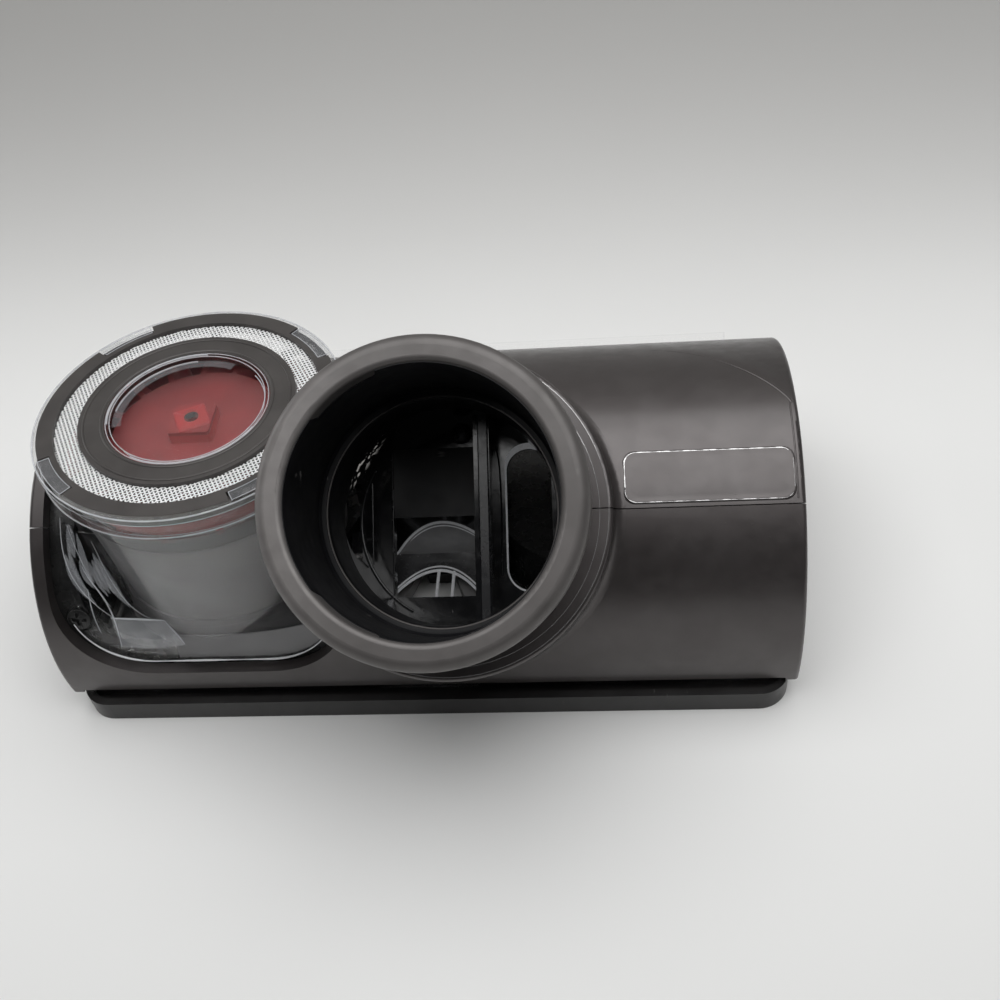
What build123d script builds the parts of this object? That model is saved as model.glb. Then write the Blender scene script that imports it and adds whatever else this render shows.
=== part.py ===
from build123d import *
from math import acos, asin, atan2, cos, degrees, hypot, pi, radians, sin, sqrt, tan
import os

# Vacuum turbine brush head: a half-drum with a neck for the wand, an air turbine under a meshed
# inlet, and a gear train that turns two brush discs against each other.
# Frame: origin on the floor under the drum axis, X along the drum, the neck towards -Y, +Z up.

# Drum shells
DRUM_RADIUS = 30.0
DRUM_AXIS_HEIGHT = 10.0
DRUM_HALF_LENGTH = 58.2
SHELL_WALL = 2.0
SHELL_REAR_ANGLE = 188.0
SHELL_FRONT_ANGLE = 50.0
VISOR_LOW_ANGLE = -4.0
VISOR_RIM_ANGLE = 5.0
VISOR_RIM_RISE = 1.3
VISOR_RIM_INSET = 6.0
END_WALL_FOOT = 5.2
DRUM_EDGE_FILLET = 0.7
SEAM_GAP = 0.16
JOINT_GAP = 0.1

# Neck and collar, measured along the neck axis from the drum axis
NECK_X = 6.5
NECK_ELEVATION = 51.0
SOCKET_RADIUS = 17.75
SOCKET_DEPTH = 19.0
NECK_WALL = 1.25
NECK_STOP_STEP = 1.35
NECK_REACH = 25.5
LIP_RISE = 2.5
LIP_LENGTH = 5.0
LIP_ROUND = 1.6
COLLAR_RISE = 3.0
COLLAR_HALF_ANGLE = 53.77
COLLAR_WALL = 2.2
COLLAR_DEPTH = 6.0
COLLAR_FILLET = 1.8
COLLAR_EDGE_FILLET = 0.6
TONGUE_HEIGHT = 1.8
TONGUE_RISE = 1.2
SWIVEL_GAP = 0.25
STOP_NOTCH_HALF_ANGLE = 48.0
STOP_LUG_HALF_ANGLE = 7.0
STOP_LUG_RISE = 1.8
STOP_LUG_HEIGHT = 1.4

# Suction duct
DUCT_WALL = 2.0
DUCT_START = 12.0
SEAL_HEIGHT = 1.2
RIB_X = 10.8
RIB_WIDTH = 2.4
RIB_DEPTH = 9.0
DUCT_LEFT_EDGE = -4.6
DUCT_RIGHT_EDGE = 21.0
DUCT_OPENING_HALF_HEIGHT = 12.0
ARCH_GAP = 1.8
ARCH_HALF_HEIGHT = 11.4
SHAFT_CASE_GAP = 1.2
SHAFT_WALL = 1.2
SHAFT_FRONT_Y = -4.2
SHAFT_REAR_INSET = 1.3
PORT_RADIUS = 6.0
PORT_REACH = 20.0

# Sole plate
SOLE_END_INSET = 1.0
SOLE_SIDE_REACH = 1.4
SOLE_THICKNESS = 2.4
SOLE_CORNER = 5.0
SOLE_LIP = 1.3
SOLE_LIP_HEIGHT = 4.0
SOLE_NOTCH_WIDTH = 11.0
SOLE_NOTCH_PITCH = 26.0
SOLE_NOTCH_COUNT = 4

# Brush discs
DISC_END_MARGIN = 3.2
DISC_MIDDLE_GAP = 2.5
DISC_SIDE_GAP = 0.8
DISC_THICKNESS = 2.4
DISC_RING = 6.5
DISC_HOLE_GAP = 0.8
DISC_HUB_RADIUS = 7.0
DISC_HUB_HEIGHT = 4.0
DISC_WEB = 0.7
DISC_SPOKES = 5
DISC_SPOKE_WIDTH = 5.2
DRIVE_SQUARE = 6.0
TUFT_RADIUS = 1.5
TUFT_COUNT = 15
TUFT_DEPTH = 1.5
TUFT_FLOOR_GAP = 0.4
DISC_SCREW_RADIUS = 1.3
DISC_SCREW_HEAD = 3.0
DISC_SCREW_HEAD_HEIGHT = 1.3

# Brush chamber
CHAMBER_WALL = 1.2
CHAMBER_END_GAP = 0.6
CHAMBER_SIDE_GAP = 0.5
STRIP_HEIGHT = 1.0
STRIP_LOW = 4.3

# Gears
TRAIN_LEAN_ANGLE = 20.0
PRESSURE_ANGLE = 25.0
ADDENDUM = 0.64
DEDENDUM = 0.84
BACKLASH = 0.12
DISC_TEETH = 36
IDLER_TEETH = 18
WHEEL_TEETH = 20
PINION_TEETH = 9
LOW_FACE = 3.4
HIGH_FACE = 3.0
HUB_RADIUS = 4.5
SHOULDER_RADIUS = 2.1
JOURNAL_RADIUS = 1.5
IDLER_PIN_RADIUS = 1.5
IDLER_BOSS_RADIUS = 3.2
REDUCTION_PIN_RADIUS = 1.0
RUNNING_GAP = 0.05
AXIAL_GAP = 0.2
GEAR_TIP_GAP = 0.66
CASE_WALL = 1.2
COVER_THICKNESS = 1.5
BUSH_WALL = 1.5
BUSH_FLANGE = 0.8
BUSH_FLANGE_HEIGHT = 0.3
LEVEL_GAP = 0.5

# Turbine, measured from its vertical axis
RIM_END_MARGIN = 2.6
RIM_MIDDLE_GAP = 8.8
TUBE_FRONT_Y = 15.1
TURBINE_RISE = 6.0
RIM_HEIGHT = 4.0
RIM_WALL = 0.75
RIM_FILLET = 0.5
RIM_OVERHANG = 1.5
TUBE_WALL = 1.0
SHROUD_GAP = 0.5
SHROUD_WALL = 1.2
SHROUD_TAPER = 1.4
SHROUD_FLOOR = 1.5
POST_WALL = 1.6
POST_RIBS = 4
RING_HEIGHT = 2.0
RING_FIT = 0.1
TAB_COUNT = 4
TAB_HALF_ANGLE = 11.0
TAB_REACH = 1.7
TAB_HEIGHT = 0.8
TAB_START_ANGLE = 40.0
MESH_EDGE = 3.35
MESH_BAND = 3.65
MESH_THICKNESS = 0.4
MESH_RECESS = 0.5
MESH_SPOKES = 8
MESH_SPOKE_WIDTH = 1.2
LENS_EDGE = 10.9
LENS_THICKNESS = 1.0
LENS_LIP = 0.8
LENS_RECESS = 0.9
ROTOR_TIP_GAP = 1.1
BLADE_REACH = 6.8
ROTOR_WALL = 1.2
ROTOR_DEPTH = 5.2
ROTOR_BLADES = 16
BLADE_THICKNESS = 0.9
BLADE_SWEEP = 2.6
ROTOR_HUB_RADIUS = 4.0
ROTOR_SQUARE = 6.4
ROTOR_SQUARE_HEIGHT = 2.0
SHAFT_RADIUS = 1.5
SHAFT_RECESS = 0.7
BEARING_RADIUS = 4.0
BEARING_HEIGHT = 3.0

# Shell window, clear skirt and black cradle round the turbine
WINDOW_STRIP = 2.4
WINDOW_LOW = 10.5
WINDOW_CORNER = 14.0
WINDOW_MARGIN = 0.6
SKIRT_INSET = 1.7
SKIRT_WALL = 1.2
CRADLE_WALL = 1.2
CRADLE_OVERLAP = 1.8
CRADLE_WIDTH = 4.0
CRADLE_SCREW_INSET = 5.6
CRADLE_SCREW_RISE = 9.9
CRADLE_SCREW_GAP = 0.13
CRADLE_SCREW_RADIUS = 1.1
CRADLE_SCREW_HEAD = 1.8
CRADLE_SCREW_HEAD_HEIGHT = 1.0
CRADLE_SCREW_DEPTH = 3.2
CRADLE_SPOT_DEPTH = 0.3
CRADLE_BOSS_WALL = 1.2

# Coin lock under the sole
LOCK_CASE_GAP = 0.3
LOCK_HEAD_RADIUS = 5.4
LOCK_HEAD_HEIGHT = 1.5
LOCK_HEAD_RECESS = 0.6
LOCK_STEM_RADIUS = 2.0
LOCK_BAR_LENGTH = 7.0
LOCK_BAR_WIDTH = 3.0
LOCK_BAR_HEIGHT = 1.6
LOCK_SLOT_WIDTH = 1.6
LOCK_SLOT_DEPTH = 0.8

# Heights of the stack, from the floor up
disc_bottom = SOLE_THICKNESS + AXIAL_GAP
hub_top = disc_bottom + DISC_HUB_HEIGHT
roof_bottom = hub_top + AXIAL_GAP
roof_top = roof_bottom + CHAMBER_WALL
case_floor_top = roof_top + CASE_WALL
low_bottom = case_floor_top + BUSH_FLANGE_HEIGHT + AXIAL_GAP
low_top = low_bottom + LOW_FACE
high_bottom = low_top + LEVEL_GAP
high_top = high_bottom + HIGH_FACE
cover_bottom = high_top + LEVEL_GAP
cover_top = cover_bottom + COVER_THICKNESS

# Radii about the drum axis
shell_inner = DRUM_RADIUS - SHELL_WALL
cradle_outer = shell_inner - JOINT_GAP
cradle_inner = cradle_outer - CRADLE_WALL
skirt_outer = cradle_outer + SKIRT_WALL
collar_radius = DRUM_RADIUS * sin(radians(COLLAR_HALF_ANGLE))

# Plan of the sole and the chamber
sole_half_length = DRUM_HALF_LENGTH - SOLE_END_INSET
sole_half_depth = DRUM_RADIUS + SOLE_SIDE_REACH
chamber_half_length = DRUM_HALF_LENGTH - SHELL_WALL - CHAMBER_END_GAP
chamber_rise = DRUM_AXIS_HEIGHT - roof_bottom
chamber_half_depth = sqrt(shell_inner**2 - chamber_rise**2) - CHAMBER_SIDE_GAP
disc_x = (DRUM_HALF_LENGTH - DISC_END_MARGIN) / 2
disc_room = chamber_half_depth - CHAMBER_WALL - DISC_SIDE_GAP
disc_radius = min(disc_x - DISC_MIDDLE_GAP, disc_room)

# Distances along the neck axis
collar_top = DRUM_RADIUS + COLLAR_RISE
collar_bottom = collar_top - COLLAR_DEPTH
neck_end = DRUM_RADIUS + NECK_REACH
neck_start = collar_bottom
neck_radius = SOCKET_RADIUS + NECK_WALL
neck_inner = SOCKET_RADIUS - NECK_STOP_STEP
groove_radius = neck_radius - TONGUE_RISE
lip_radius = neck_radius + LIP_RISE
tongue_middle = collar_bottom + COLLAR_DEPTH / 2
stop_middle = collar_top - STOP_LUG_HEIGHT / 2 - SWIVEL_GAP
duct_end = neck_start - SWIVEL_GAP - SEAL_HEIGHT
duct_outer = neck_radius - 2 * SWIVEL_GAP
duct_inner = duct_outer - DUCT_WALL
collar_inner = collar_radius - COLLAR_WALL

# Turbine heights and radii
rim_radius = (DRUM_HALF_LENGTH - RIM_END_MARGIN - RIM_MIDDLE_GAP) / 2
tube_radius = rim_radius - RIM_OVERHANG
turbine_x = -RIM_MIDDLE_GAP - rim_radius
turbine_y = TUBE_FRONT_Y - tube_radius
mesh_outer = rim_radius - MESH_EDGE
mesh_inner = mesh_outer - MESH_BAND
lens_radius = rim_radius - LENS_EDGE
rim_top = DRUM_AXIS_HEIGHT + DRUM_RADIUS + TURBINE_RISE
rim_bottom = rim_top - RIM_HEIGHT
ring_bottom = rim_top - RING_HEIGHT
seat_radius = rim_radius - RIM_WALL
ring_radius = seat_radius - RING_FIT
tube_inner = tube_radius - TUBE_WALL
square_top = ring_bottom - LEVEL_GAP
rotor_top = square_top - ROTOR_SQUARE_HEIGHT
rotor_bottom = rotor_top - ROTOR_DEPTH
rotor_radius = tube_inner - ROTOR_TIP_GAP
rotor_drum_radius = rotor_radius - BLADE_REACH
shroud_top = rotor_bottom - LEVEL_GAP
shroud_radius = tube_inner - SHROUD_GAP
post_top = shroud_top - LEVEL_GAP
tube_clear = tube_radius + 2 * JOINT_GAP
rim_clear = rim_radius + 2 * JOINT_GAP
turbine_centre = (turbine_x, turbine_y)

# Gear radii and centres
train_lean = cos(radians(TRAIN_LEAN_ANGLE))
gear_module = 2 * disc_x / (IDLER_TEETH + (DISC_TEETH + IDLER_TEETH) * train_lean)
case_reach = ADDENDUM + GEAR_TIP_GAP
disc_pitch = gear_module * DISC_TEETH / 2
idler_pitch = gear_module * IDLER_TEETH / 2
wheel_pitch = gear_module * WHEEL_TEETH / 2
pinion_pitch = gear_module * PINION_TEETH / 2
left_disc = (-disc_x, 0.0)
right_disc = (disc_x, 0.0)
idler_y = sqrt((disc_pitch + idler_pitch) ** 2 - (disc_x - idler_pitch) ** 2)
left_idler = (-idler_pitch, idler_y)
right_idler = (idler_pitch, idler_y)
shaft_half_width = disc_x - disc_pitch - case_reach - CASE_WALL - SHAFT_WALL - SHAFT_CASE_GAP
shaft_rear_y = SHAFT_REAR_INSET - chamber_half_depth

# Coin lock, between the gear case and the front of the chamber
case_front = idler_y + idler_pitch + case_reach + CASE_WALL
lock_y = case_front + LOCK_CASE_GAP + LOCK_BAR_LENGTH / 2


def meeting_point(first, first_reach, second, second_reach):
    """The point on the left that lies the two reaches from the two centres."""
    dx = second[0] - first[0]
    dy = second[1] - first[1]
    span = hypot(dx, dy)
    along = (first_reach**2 - second_reach**2 + span**2) / (2 * span)
    across = sqrt(first_reach**2 - along**2)
    x = first[0] + (along * dx - across * dy) / span
    y = first[1] + (along * dy + across * dx) / span
    return (x, y)


reduction = meeting_point(
    turbine_centre, wheel_pitch + pinion_pitch, left_disc, disc_pitch + pinion_pitch
)


def meshed_angle(teeth, angle, mate_teeth, centre, mate_centre):
    """The angle that sets a tooth gap of the mate on a tooth of the first gear, in degrees."""
    line = atan2(mate_centre[1] - centre[1], mate_centre[0] - centre[0])
    return degrees((pi - (radians(angle) - line) * teeth) / mate_teeth + line + pi)


left_disc_angle = 0.0
left_idler_angle = meshed_angle(DISC_TEETH, left_disc_angle, IDLER_TEETH, left_disc, left_idler)
right_idler_angle = meshed_angle(
    IDLER_TEETH, left_idler_angle, IDLER_TEETH, left_idler, right_idler
)
right_disc_angle = meshed_angle(
    IDLER_TEETH, right_idler_angle, DISC_TEETH, right_idler, right_disc
)
small_angle = meshed_angle(DISC_TEETH, left_disc_angle, PINION_TEETH, left_disc, reduction)
wheel_angle = 0.0
pinion_angle = meshed_angle(WHEEL_TEETH, wheel_angle, PINION_TEETH, reduction, turbine_centre)


def neck_plane(reach):
    """A plane square to the neck axis, at a distance along it from the drum axis."""
    lean = radians(NECK_ELEVATION)
    away = Vector(0, -cos(lean), sin(lean))
    return Plane(Vector(NECK_X, 0, DRUM_AXIS_HEIGHT) + away * reach, x_dir=(1, 0, 0), z_dir=away)


def drum_plane(x, angle, radius):
    """A plane that touches a cylinder about the drum axis, facing outwards."""
    away = Vector(0, cos(radians(angle)), sin(radians(angle)))
    return Plane(Vector(x, 0, DRUM_AXIS_HEIGHT) + away * radius, x_dir=(1, 0, 0), z_dir=away)


def upright_tube(outer, inner, bottom, top, centre):
    """A vertical tube, or a rod when the inner radius is nothing."""
    with BuildPart() as tube:
        with BuildSketch(Plane.XY.offset(bottom)):
            with Locations(centre):
                Circle(outer)
                if inner > 0:
                    Circle(inner, mode=Mode.SUBTRACT)
        extrude(amount=top - bottom)
    return tube.part


def neck_sleeve(outer, inner, start, end):
    """A tube about the neck axis, or a rod when the inner radius is nothing."""
    with BuildPart() as sleeve:
        with BuildSketch(neck_plane(start)):
            Circle(outer)
            if inner > 0:
                Circle(inner, mode=Mode.SUBTRACT)
        extrude(amount=end - start)
    return sleeve.part


def drum_band(outer, inner, first, last, left, right):
    """A stretch of a tube about the drum axis between two angles."""
    axis = (0, DRUM_AXIS_HEIGHT)
    with BuildPart() as band:
        with BuildSketch(Plane.YZ.offset(left)):
            with BuildLine():
                far = CenterArc(axis, outer, first, last - first)
                near = CenterArc(axis, inner, first, last - first)
                Line(far @ 0, near @ 0)
                Line(far @ 1, near @ 1)
            make_face()
        extrude(amount=right - left)
    return band.part


def drum_rod(radius, left, right):
    """A cylinder about the drum axis."""
    with BuildPart() as rod:
        with BuildSketch(Plane.YZ.offset(left)):
            with Locations((0, DRUM_AXIS_HEIGHT)):
                Circle(radius)
        extrude(amount=right - left)
    return rod.part


def gear_outline(teeth):
    """An involute spur gear outline about its own centre, with a tooth on the X axis."""
    pitch = gear_module * teeth / 2
    base = pitch * cos(radians(PRESSURE_ANGLE))
    tip = pitch + ADDENDUM
    root = pitch - DEDENDUM
    start = max(base, root)
    involute = tan(radians(PRESSURE_ANGLE)) - radians(PRESSURE_ANGLE)
    half_tooth = (pi * gear_module / 2 - BACKLASH) / (2 * pitch)

    def flank_angle(radius):
        turn = acos(base / radius)
        return half_tooth + involute - (tan(turn) - turn)

    def spot(radius, angle):
        return (radius * cos(angle), radius * sin(angle))

    middle = (start + tip) / 2
    step = 2 * pi / teeth
    with BuildSketch() as outline:
        with BuildLine():
            for index in range(teeth):
                turn = index * step
                foot = flank_angle(start)
                next_foot = turn + step - foot
                ThreePointArc(
                    spot(start, turn - foot),
                    spot(middle, turn - flank_angle(middle)),
                    spot(tip, turn - flank_angle(tip)),
                )
                Line(spot(tip, turn - flank_angle(tip)), spot(tip, turn + flank_angle(tip)))
                ThreePointArc(
                    spot(tip, turn + flank_angle(tip)),
                    spot(middle, turn + flank_angle(middle)),
                    spot(start, turn + foot),
                )
                if root < start:
                    Line(spot(start, turn + foot), spot(root, turn + foot))
                    Line(spot(root, turn + foot), spot(root, next_foot))
                    Line(spot(root, next_foot), spot(start, next_foot))
                else:
                    Line(spot(start, turn + foot), spot(start, next_foot))
        make_face()
    return outline.sketch


def gear_body(teeth, angle, centre, bottom, top):
    """A plain spur gear, turned to its meshing angle."""
    with BuildPart() as gear:
        with BuildSketch(Plane.XY.offset(bottom)):
            with Locations(Location((centre[0], centre[1], 0), (0, 0, angle))):
                add(gear_outline(teeth))
        extrude(amount=top - bottom)
    return gear.part


def tapered_slot(first, first_radius, second, second_radius):
    """Two circles joined by their outer tangents."""
    line = atan2(second[1] - first[1], second[0] - first[0])
    span = hypot(second[0] - first[0], second[1] - first[1])
    lean = acos((first_radius - second_radius) / span)
    corners = []
    for centre, radius, side in (
        (first, first_radius, 1),
        (second, second_radius, 1),
        (second, second_radius, -1),
        (first, first_radius, -1),
    ):
        angle = line + side * lean
        corners.append((centre[0] + radius * cos(angle), centre[1] + radius * sin(angle)))
    with BuildSketch() as slot:
        with Locations(first):
            Circle(first_radius)
        with Locations(second):
            Circle(second_radius)
        with BuildLine():
            Polyline(*corners, close=True)
        make_face()
    return slot.sketch


def case_outline(margin):
    """The plan of the gear case: round each gear, with a margin outside the tooth tips."""
    reach = case_reach + margin
    lower = idler_y - idler_pitch - reach
    upper = idler_y + idler_pitch + reach
    with BuildSketch() as plan:
        add(tapered_slot(left_disc, disc_pitch + reach, reduction, wheel_pitch + reach))
        with Locations(right_disc):
            Circle(disc_pitch + reach)
        with Locations((0, (lower + upper) / 2)):
            Rectangle(2 * disc_x, upper - lower)
    return plan.sketch


def window_block(inset):
    """The block that cuts the shell window, drawn in from every side by an inset."""
    left = -DRUM_HALF_LENGTH + WINDOW_STRIP + inset
    right = turbine_x + tube_clear + WINDOW_MARGIN - inset
    front = turbine_y + tube_clear + WINDOW_MARGIN - inset
    rear = -2 * DRUM_RADIUS
    low = WINDOW_LOW + inset
    high = 2 * DRUM_RADIUS + DRUM_AXIS_HEIGHT
    round_off = max(WINDOW_CORNER - inset, inset + 1)
    with BuildPart() as block:
        with BuildSketch(Plane.XY):
            with Locations(((left + right) / 2, (front + rear) / 2)):
                plan = Rectangle(right - left, front - rear)
            fillet(plan.vertices().group_by(Axis.Y)[-1], round_off)
        extrude(amount=high)
        with BuildSketch(Plane.XZ.offset(-2 * DRUM_RADIUS)) as face:
            with Locations(((left + right) / 2, (low + high) / 2)):
                Rectangle(right - left, high - low)
            fillet(face.vertices().group_by(Axis.Y)[0], round_off)
        extrude(amount=4 * DRUM_RADIUS, mode=Mode.INTERSECT)
    return block.part


# Clear zones that several pieces share
neck_void = neck_sleeve(collar_inner, 0, 0, collar_bottom)
neck_bay = neck_sleeve(collar_inner, 0, 0, DRUM_RADIUS)
neck_zone = neck_sleeve(neck_radius + SWIVEL_GAP, 0, neck_start - SWIVEL_GAP, neck_end)
tube_zone = upright_tube(tube_clear, 0, cover_top, rim_top, turbine_centre)
rim_zone = upright_tube(rim_clear, 0, rim_bottom - JOINT_GAP, 2 * rim_top, turbine_centre)
shell_void = drum_rod(shell_inner, -DRUM_HALF_LENGTH + SHELL_WALL, DRUM_HALF_LENGTH - SHELL_WALL)
port_reach = neck_plane(PORT_REACH).origin
with BuildPart() as port_zone:
    with BuildSketch(Plane.YZ.offset(turbine_x + shroud_radius / 2)):
        with Locations((port_reach.Y, port_reach.Z)):
            Circle(PORT_RADIUS)
    extrude(amount=NECK_X - turbine_x - shroud_radius / 2)


def on_collar_joint(edge):
    """Whether an edge runs where the collar meets the outside of the drum."""
    middle = edge @ 0.5
    drum_distance = hypot(middle.Y, middle.Z - DRUM_AXIS_HEIGHT)
    local = neck_plane(0).to_local_coords(middle)
    neck_distance = hypot(local.X, local.Y)
    return abs(drum_distance - DRUM_RADIUS) < 0.01 and abs(neck_distance - collar_radius) < 0.01


# Both shells as one blank: drum wall, end walls and neck collar
with BuildPart() as shell_blank:
    add(
        drum_band(
            DRUM_RADIUS,
            shell_inner,
            SHELL_FRONT_ANGLE,
            SHELL_REAR_ANGLE,
            -DRUM_HALF_LENGTH,
            DRUM_HALF_LENGTH,
        )
    )
    for wall_start in (-DRUM_HALF_LENGTH, DRUM_HALF_LENGTH - SHELL_WALL):
        with BuildSketch(Plane.YZ.offset(wall_start)):
            with Locations((0, DRUM_AXIS_HEIGHT)):
                Circle(DRUM_RADIUS)
            with Locations((0, END_WALL_FOOT - DRUM_RADIUS)):
                Rectangle(2 * DRUM_RADIUS, 2 * DRUM_RADIUS, mode=Mode.SUBTRACT)
        extrude(amount=SHELL_WALL)
    outer_rims = shell_blank.edges().filter_by(GeomType.CIRCLE)
    outer_rims = outer_rims.filter_by(lambda e: abs(e.radius - DRUM_RADIUS) < 0.01)
    outer_rims = outer_rims.filter_by(lambda e: abs(abs((e @ 0.5).X) - DRUM_HALF_LENGTH) < 0.01)
    fillet(outer_rims, DRUM_EDGE_FILLET)
    with BuildSketch(neck_plane(DUCT_START)):
        Circle(collar_radius)
    extrude(amount=collar_top - DUCT_START)
    fillet(shell_blank.edges().filter_by(on_collar_joint), COLLAR_FILLET)
    collar_rim = shell_blank.edges().filter_by(GeomType.CIRCLE)
    collar_rim = collar_rim.filter_by(lambda e: abs(e.radius - collar_radius) < 0.01)
    fillet(collar_rim.sort_by(Axis.Z)[-1:], COLLAR_EDGE_FILLET)
    add(shell_void, mode=Mode.SUBTRACT)
    add(neck_void, mode=Mode.SUBTRACT)
    add(neck_sleeve(neck_radius + SWIVEL_GAP, 0, collar_bottom, collar_top), mode=Mode.SUBTRACT)
    add(
        neck_sleeve(
            neck_radius + 2 * SWIVEL_GAP,
            groove_radius + SWIVEL_GAP,
            tongue_middle - TONGUE_HEIGHT / 2,
            tongue_middle + TONGUE_HEIGHT / 2,
        )
    )
    with BuildSketch(neck_plane(collar_top - STOP_LUG_HEIGHT - 2 * SWIVEL_GAP)):
        with BuildLine():
            notch_radius = neck_radius + STOP_LUG_RISE + SWIVEL_GAP
            far_arc = CenterArc(
                (0, 0), notch_radius, -90 - STOP_NOTCH_HALF_ANGLE, 2 * STOP_NOTCH_HALF_ANGLE
            )
            near_arc = CenterArc(
                (0, 0), neck_radius, -90 - STOP_NOTCH_HALF_ANGLE, 2 * STOP_NOTCH_HALF_ANGLE
            )
            Line(far_arc @ 0, near_arc @ 0)
            Line(far_arc @ 1, near_arc @ 1)
        make_face()
    extrude(amount=COLLAR_DEPTH, mode=Mode.SUBTRACT)
    add(window_block(0), mode=Mode.SUBTRACT)
    add(tube_zone, mode=Mode.SUBTRACT)
    add(rim_zone, mode=Mode.SUBTRACT)

seam = Plane(
    (0, 0, DRUM_AXIS_HEIGHT),
    x_dir=(1, 0, 0),
    z_dir=(0, sin(radians(NECK_ELEVATION)), cos(radians(NECK_ELEVATION))),
)

with BuildPart() as top_shell:
    add(shell_blank.part)
    split(bisect_by=seam.offset(SEAM_GAP / 2), keep=Keep.TOP)

with BuildPart() as rear_shell:
    add(shell_blank.part)
    split(bisect_by=seam.offset(-SEAM_GAP / 2), keep=Keep.BOTTOM)

with BuildPart() as front_visor:
    visor_end = DRUM_HALF_LENGTH - SHELL_WALL - JOINT_GAP
    gap_angle = degrees(JOINT_GAP / DRUM_RADIUS)
    add(
        drum_band(
            DRUM_RADIUS,
            shell_inner,
            VISOR_LOW_ANGLE,
            SHELL_FRONT_ANGLE - gap_angle,
            -visor_end,
            visor_end,
        )
    )
    add(
        drum_band(
            DRUM_RADIUS + VISOR_RIM_RISE,
            shell_inner,
            SHELL_FRONT_ANGLE - VISOR_RIM_ANGLE,
            SHELL_FRONT_ANGLE - gap_angle,
            -visor_end + VISOR_RIM_INSET,
            visor_end - VISOR_RIM_INSET,
        )
    )

# Neck tube: turns in the collar, held by the collar's tongue, with a stop lug in the notch
with BuildPart() as neck_tube:
    add(neck_sleeve(neck_radius, neck_inner, neck_start, neck_end))
    with BuildSketch(neck_plane(neck_end - LIP_LENGTH)):
        Circle(lip_radius)
        Circle(neck_inner, mode=Mode.SUBTRACT)
    extrude(amount=LIP_LENGTH)
    lip_edges = neck_tube.edges().filter_by(GeomType.CIRCLE)
    lip_edges = lip_edges.filter_by(lambda e: abs(e.radius - lip_radius) < 0.01)
    fillet(lip_edges, LIP_ROUND)
    add(
        neck_sleeve(SOCKET_RADIUS, 0, neck_end - SOCKET_DEPTH, neck_end), mode=Mode.SUBTRACT
    )
    mouth = neck_tube.edges().filter_by(GeomType.CIRCLE)
    mouth = mouth.filter_by(lambda e: abs(e.radius - SOCKET_RADIUS) < 0.01).sort_by(Axis.Z)[-1:]
    fillet(mouth, LIP_ROUND / 2)
    add(
        neck_sleeve(
            2 * neck_radius,
            groove_radius,
            tongue_middle - TONGUE_HEIGHT / 2 - SWIVEL_GAP,
            tongue_middle + TONGUE_HEIGHT / 2 + SWIVEL_GAP,
        ),
        mode=Mode.SUBTRACT,
    )
    with BuildSketch(neck_plane(stop_middle - STOP_LUG_HEIGHT / 2)):
        with BuildLine():
            lug_far = CenterArc(
                (0, 0),
                neck_radius + STOP_LUG_RISE,
                -90 - STOP_LUG_HALF_ANGLE,
                2 * STOP_LUG_HALF_ANGLE,
            )
            lug_near = CenterArc(
                (0, 0), groove_radius, -90 - STOP_LUG_HALF_ANGLE, 2 * STOP_LUG_HALF_ANGLE
            )
            Line(lug_far @ 0, lug_near @ 0)
            Line(lug_far @ 1, lug_near @ 1)
        make_face()
    extrude(amount=STOP_LUG_HEIGHT)

with BuildPart() as neck_seal:
    add(neck_sleeve(duct_outer, duct_inner, duct_end, duct_end + SEAL_HEIGHT))
    add(tube_zone, mode=Mode.SUBTRACT)

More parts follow.
